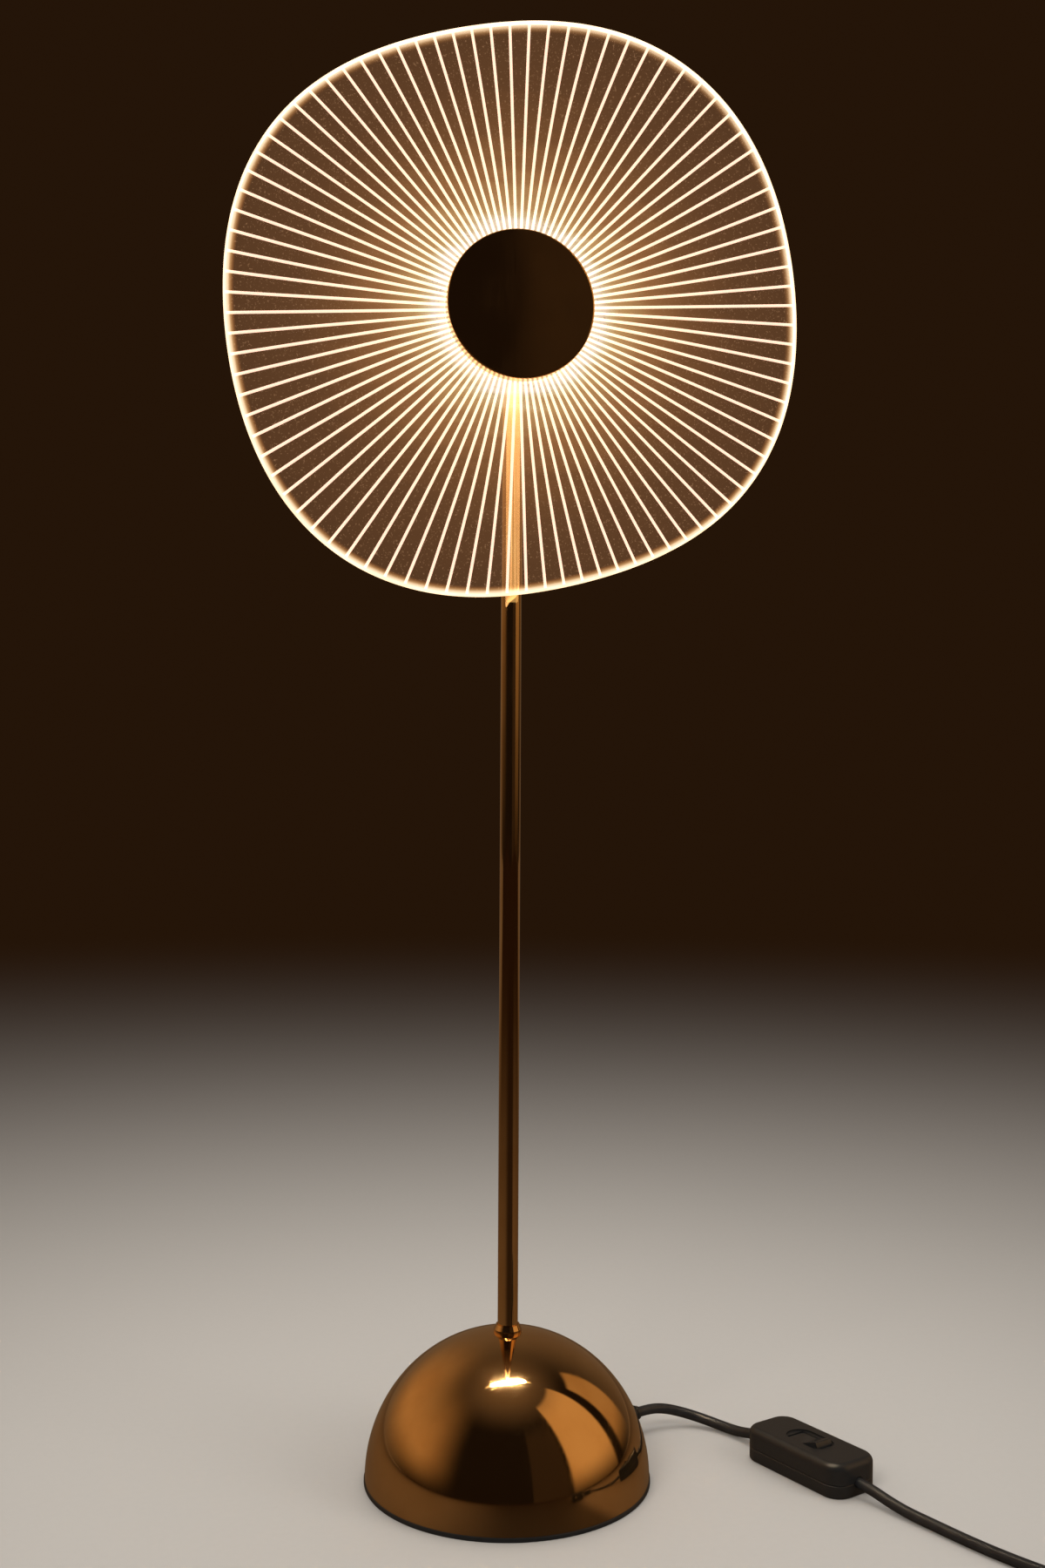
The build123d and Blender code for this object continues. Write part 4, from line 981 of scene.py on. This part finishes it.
# Stage: a pale floor that falls off into a darker, plain backdrop, so that the lit grooves show, and soft
# panels that only mirrors see. Azimuths are counted from -Y towards +X, elevations from level, in degrees
stageLook = {
    "floorSize": 12,
    "floor": (0.52, 0.49, 0.455),
    "paperScale": 240,
    "paperShade": 0.96,  # of the floor's colour, in its darker fibres
    "paperRoughness": 0.55,
    "paperSpecular": 0.2,
    # nearness is 1 / (distance + the first). The floor is gone at the second and whole at the third
    "fade": (0.8, 0.26, 1.02),
    # painted reflection: what mirrors see of the floor, darker than the floor and darker still in front
    "mirroredFloor": (0.125, 0.075, 0.036),
    "mirroredFront": (0.026, 0.015, 0.0075),
    "frontAzimuth": (-30, 38),
    "frontSoft": (50, 12),
    "backdrop": (0.0176, 0.0074, 0.0026),
    "mirrored": (0.011, 0.0062, 0.0032),
    "mirroredBehind": (0.15, 0.095, 0.053),
    "behindReach": (0.1, 1.2),  # metres behind the stem, from where mirrors see the lighter room
    "behindSpan": (0.1, 0.95),  # the same for the room's walls, by how far back a direction looks
    "light": (1.0, 0.97, 0.93),
    "lightLevel": 0.5,
}
panels = [  # softness of the sides, the bottom and the top
    {"azimuth": (44, 91), "elevation": (6, 64), "soft": (3, 22, 4), "colour": (0.62, 0.34, 0.125)},
    {"azimuth": (101, 121), "elevation": (8, 49), "soft": (3, 16, 4), "colour": (0.42, 0.225, 0.08)},
    {"azimuth": (-158, -72), "elevation": (8, 46), "soft": (46, 24, 54), "colour": (0.44, 0.235, 0.088)},
    {"azimuth": (10.5, 40), "elevation": (-20, 50), "soft": (1, 4, 12), "colour": (0.032, 0.018, 0.009)},
    {"azimuth": (-200, 200), "elevation": (66, 100), "soft": (1, 34, 1), "colour": (0.14, 0.085, 0.045)},
]


def azimuthOf(graph, way):
    return graph.maths("ARCTAN2", graph.part(way, "X"), 0 - graph.part(way, "Y"))


def panelWindow(graph, value, limits, softs):
    low, high = (math.radians(limit) for limit in limits)
    blurLow, blurHigh = (math.radians(soft) / 2 for soft in softs)
    rising = graph.span(value, low - blurLow, low + blurLow)
    return rising * graph.span(value, high - blurHigh, high + blurHigh, 1, 0)


def floorFinish(graph, look):
    fibre = [look["paperShade"] * part for part in look["floor"]]
    paper = graph.blend(graph.noise(look["paperScale"]), look["floor"], fibre)
    # painted reflection: mirrors see the floor dark brown, darker still in front, while all other rays see
    # the pale paper
    front = panelWindow(graph, azimuthOf(graph, graph.place()), look["frontAzimuth"], look["frontSoft"])
    paintedMirrorFloor = graph.blend(front, look["mirroredFloor"], look["mirroredFront"])
    return {
        "Base Color": graph.blend(graph.ray("Glossy"), paper, paintedMirrorFloor),
        "Roughness": look["paperRoughness"],
        "Specular IOR Level": look["paperSpecular"],
    }


def makeFloor(look):
    half = look["floorSize"] / 2
    corners = [(-half, -half, 0), (half, -half, 0), (half, half, 0), (-half, half, 0)]
    mesh = bpy.data.meshes.new("floor")
    mesh.from_pydata(corners, [], [(0, 1, 2, 3)])
    material = makeMaterial("floor_paper", floorFinish, look)
    graph = Graph(material.node_tree)
    output = next(node for node in material.node_tree.nodes if node.type == "OUTPUT_MATERIAL")
    paper = Socket(graph, output.inputs[0].links[0].from_socket)
    behind = graph.span(graph.part(graph.place(), "Y"), *look["behindReach"])
    colour = graph.blend(graph.ray("Glossy") * behind, look["backdrop"], look["mirroredBehind"])
    far = graph.add("ShaderNodeEmission", {}, {"Color": colour})
    offset, gone, whole = look["fade"]
    fading = graph.span(1 / (graph.length(graph.place()) + offset), gone, whole, 1, 0)
    graph.tree.links.new(graph.mixShaders(fading, paper, far).socket, output.inputs[0])
    mesh.materials.append(material)
    floor = bpy.data.objects.new("floor", mesh)
    scene.collection.objects.link(floor)


def mirroredRoom(graph, look):
    way = graph.place()
    azimuth = azimuthOf(graph, way)
    elevation = graph.maths("ARCSINE", graph.part(way, "Z"))
    behind = graph.span(graph.part(way, "Y"), *look["behindSpan"])
    colour = graph.blend(behind, look["mirrored"], look["mirroredBehind"])
    for panel in panels:
        sides, bottom, top = panel["soft"]
        window = panelWindow(graph, azimuth, panel["azimuth"], (sides, sides))
        window = window * panelWindow(graph, elevation, panel["elevation"], (bottom, top))
        colour = graph.blend(window, colour, panel["colour"])
    return colour


def makeWorld(look):
    world = bpy.data.worlds.new("studio")
    scene.world = world
    world.use_nodes = True
    world.node_tree.nodes.clear()
    graph = Graph(world.node_tree)
    plain = {"Color": (*look["light"], 1), "Strength": look["lightLevel"]}
    lit = graph.add("ShaderNodeBackground", {}, plain)
    room = graph.add("ShaderNodeBackground", {}, {"Color": mirroredRoom(graph, look)})
    shown = graph.add("ShaderNodeBackground", {}, {"Color": (*look["backdrop"], 1)})
    straight = graph.maths("MAXIMUM", graph.ray("Camera"), graph.ray("Transmission"))
    mixed = graph.mixShaders(straight, graph.mixShaders(graph.ray("Glossy"), lit, room), shown)
    graph.add("ShaderNodeOutputWorld", {}, {"Surface": mixed})


lampLights = {  # metres and watts
    "key": {"place": (-1.3, -1.5, 1.9), "target": (0, 0, 0.3), "size": (1.0, 1.0),
            "power": 24, "colour": (1, 0.96, 0.9)},
    "fill": {"place": (1.7, -1.2, 1.1), "target": (0, 0, 0.3), "size": (0.8, 1.6),
             "power": 13, "colour": (1, 0.97, 0.93)},
    "top": {"place": (0.2, 0.5, 2.2), "target": (0, 0, 0), "size": (1.2, 1.2),
            "power": 15, "colour": (1, 0.98, 0.95)},
}
# The lit disc is far brighter than a picture can show. These stand for that in mirrored light alone
glowLook = {
    "backSizes": (0.28, 0.262, 0.244, 0.226, 0.208, 0.19, 0.172, 0.154, 0.136, 0.118, 0.1),
    "backLevels": (0.55, 0.06, 0.07, 0.08, 0.1, 0.14, 0.2, 0.32, 0.5, 0.8, 1.2),  # what each size adds
    "backColours": ((1, 0.8, 0.44), (1, 0.96, 0.82)),  # outermost, innermost
    "footSize": (0.16, 0.008),
    "footLevel": 126,
    "footColour": (1, 0.8, 0.55),
    "footSpread": 60,  # degrees, so that the stem does not mirror it
    "gap": 0.0005,
}


def glowLights(look):
    low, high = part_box("light_disc")
    place = Vector((0, high.y + look["gap"], hub[2]))
    outer, inner = (Vector(colour) for colour in look["backColours"])
    lights = {}
    for index, (size, level) in enumerate(zip(look["backSizes"], look["backLevels"])):
        colour = outer.lerp(inner, index / (len(look["backSizes"]) - 1))
        lights[f"disc_back_{index}"] = {"place": place, "target": place + Vector((0, 1, 0)),
                                        "size": (size, size), "level": level, "colour": colour}
    foot = Vector((0, (low.y + high.y) / 2, low.z - look["gap"]))
    lights["disc_foot"] = {"place": foot, "target": foot - Vector((0, 0, 1)), "size": look["footSize"],
                           "level": look["footLevel"], "colour": look["footColour"],
                           "spread": look["footSpread"]}
    for light in lights.values():
        wide, tall = light["size"]
        light["power"] = light["level"] * math.pi * math.pi * wide * tall / 4  # pi times an ellipse's area
    return lights


def makeLights(setups, mirroredOnly):
    for name, setup in setups.items():
        data = bpy.data.lights.new(name, "AREA")
        data.shape = "ELLIPSE" if mirroredOnly else "RECTANGLE"
        data.size, data.size_y = setup["size"]
        data.spread = math.radians(setup.get("spread", 180))
        data.energy = setup["power"]
        data.color = setup["colour"]
        lamp = bpy.data.objects.new(name, data)
        lamp.location = setup["place"]
        aim = Vector(setup["target"]) - lamp.location
        lamp.rotation_euler = aim.to_track_quat("-Z", "Y").to_euler()
        lamp.visible_glossy = mirroredOnly  # else mirrors and glass see the soft panels instead
        lamp.visible_diffuse = not mirroredOnly
        lamp.visible_camera = lamp.visible_transmission = False
        scene.collection.objects.link(lamp)


discLights = glowLights(glowLook)
makeFloor(stageLook)
makeWorld(stageLook)
makeLights(lampLights, False)
makeLights(discLights, True)
print("stage: floor, backdrop,", len(lampLights), "lamps and", len(discLights), "mirrored lights")

bpy.context.view_layer.update()
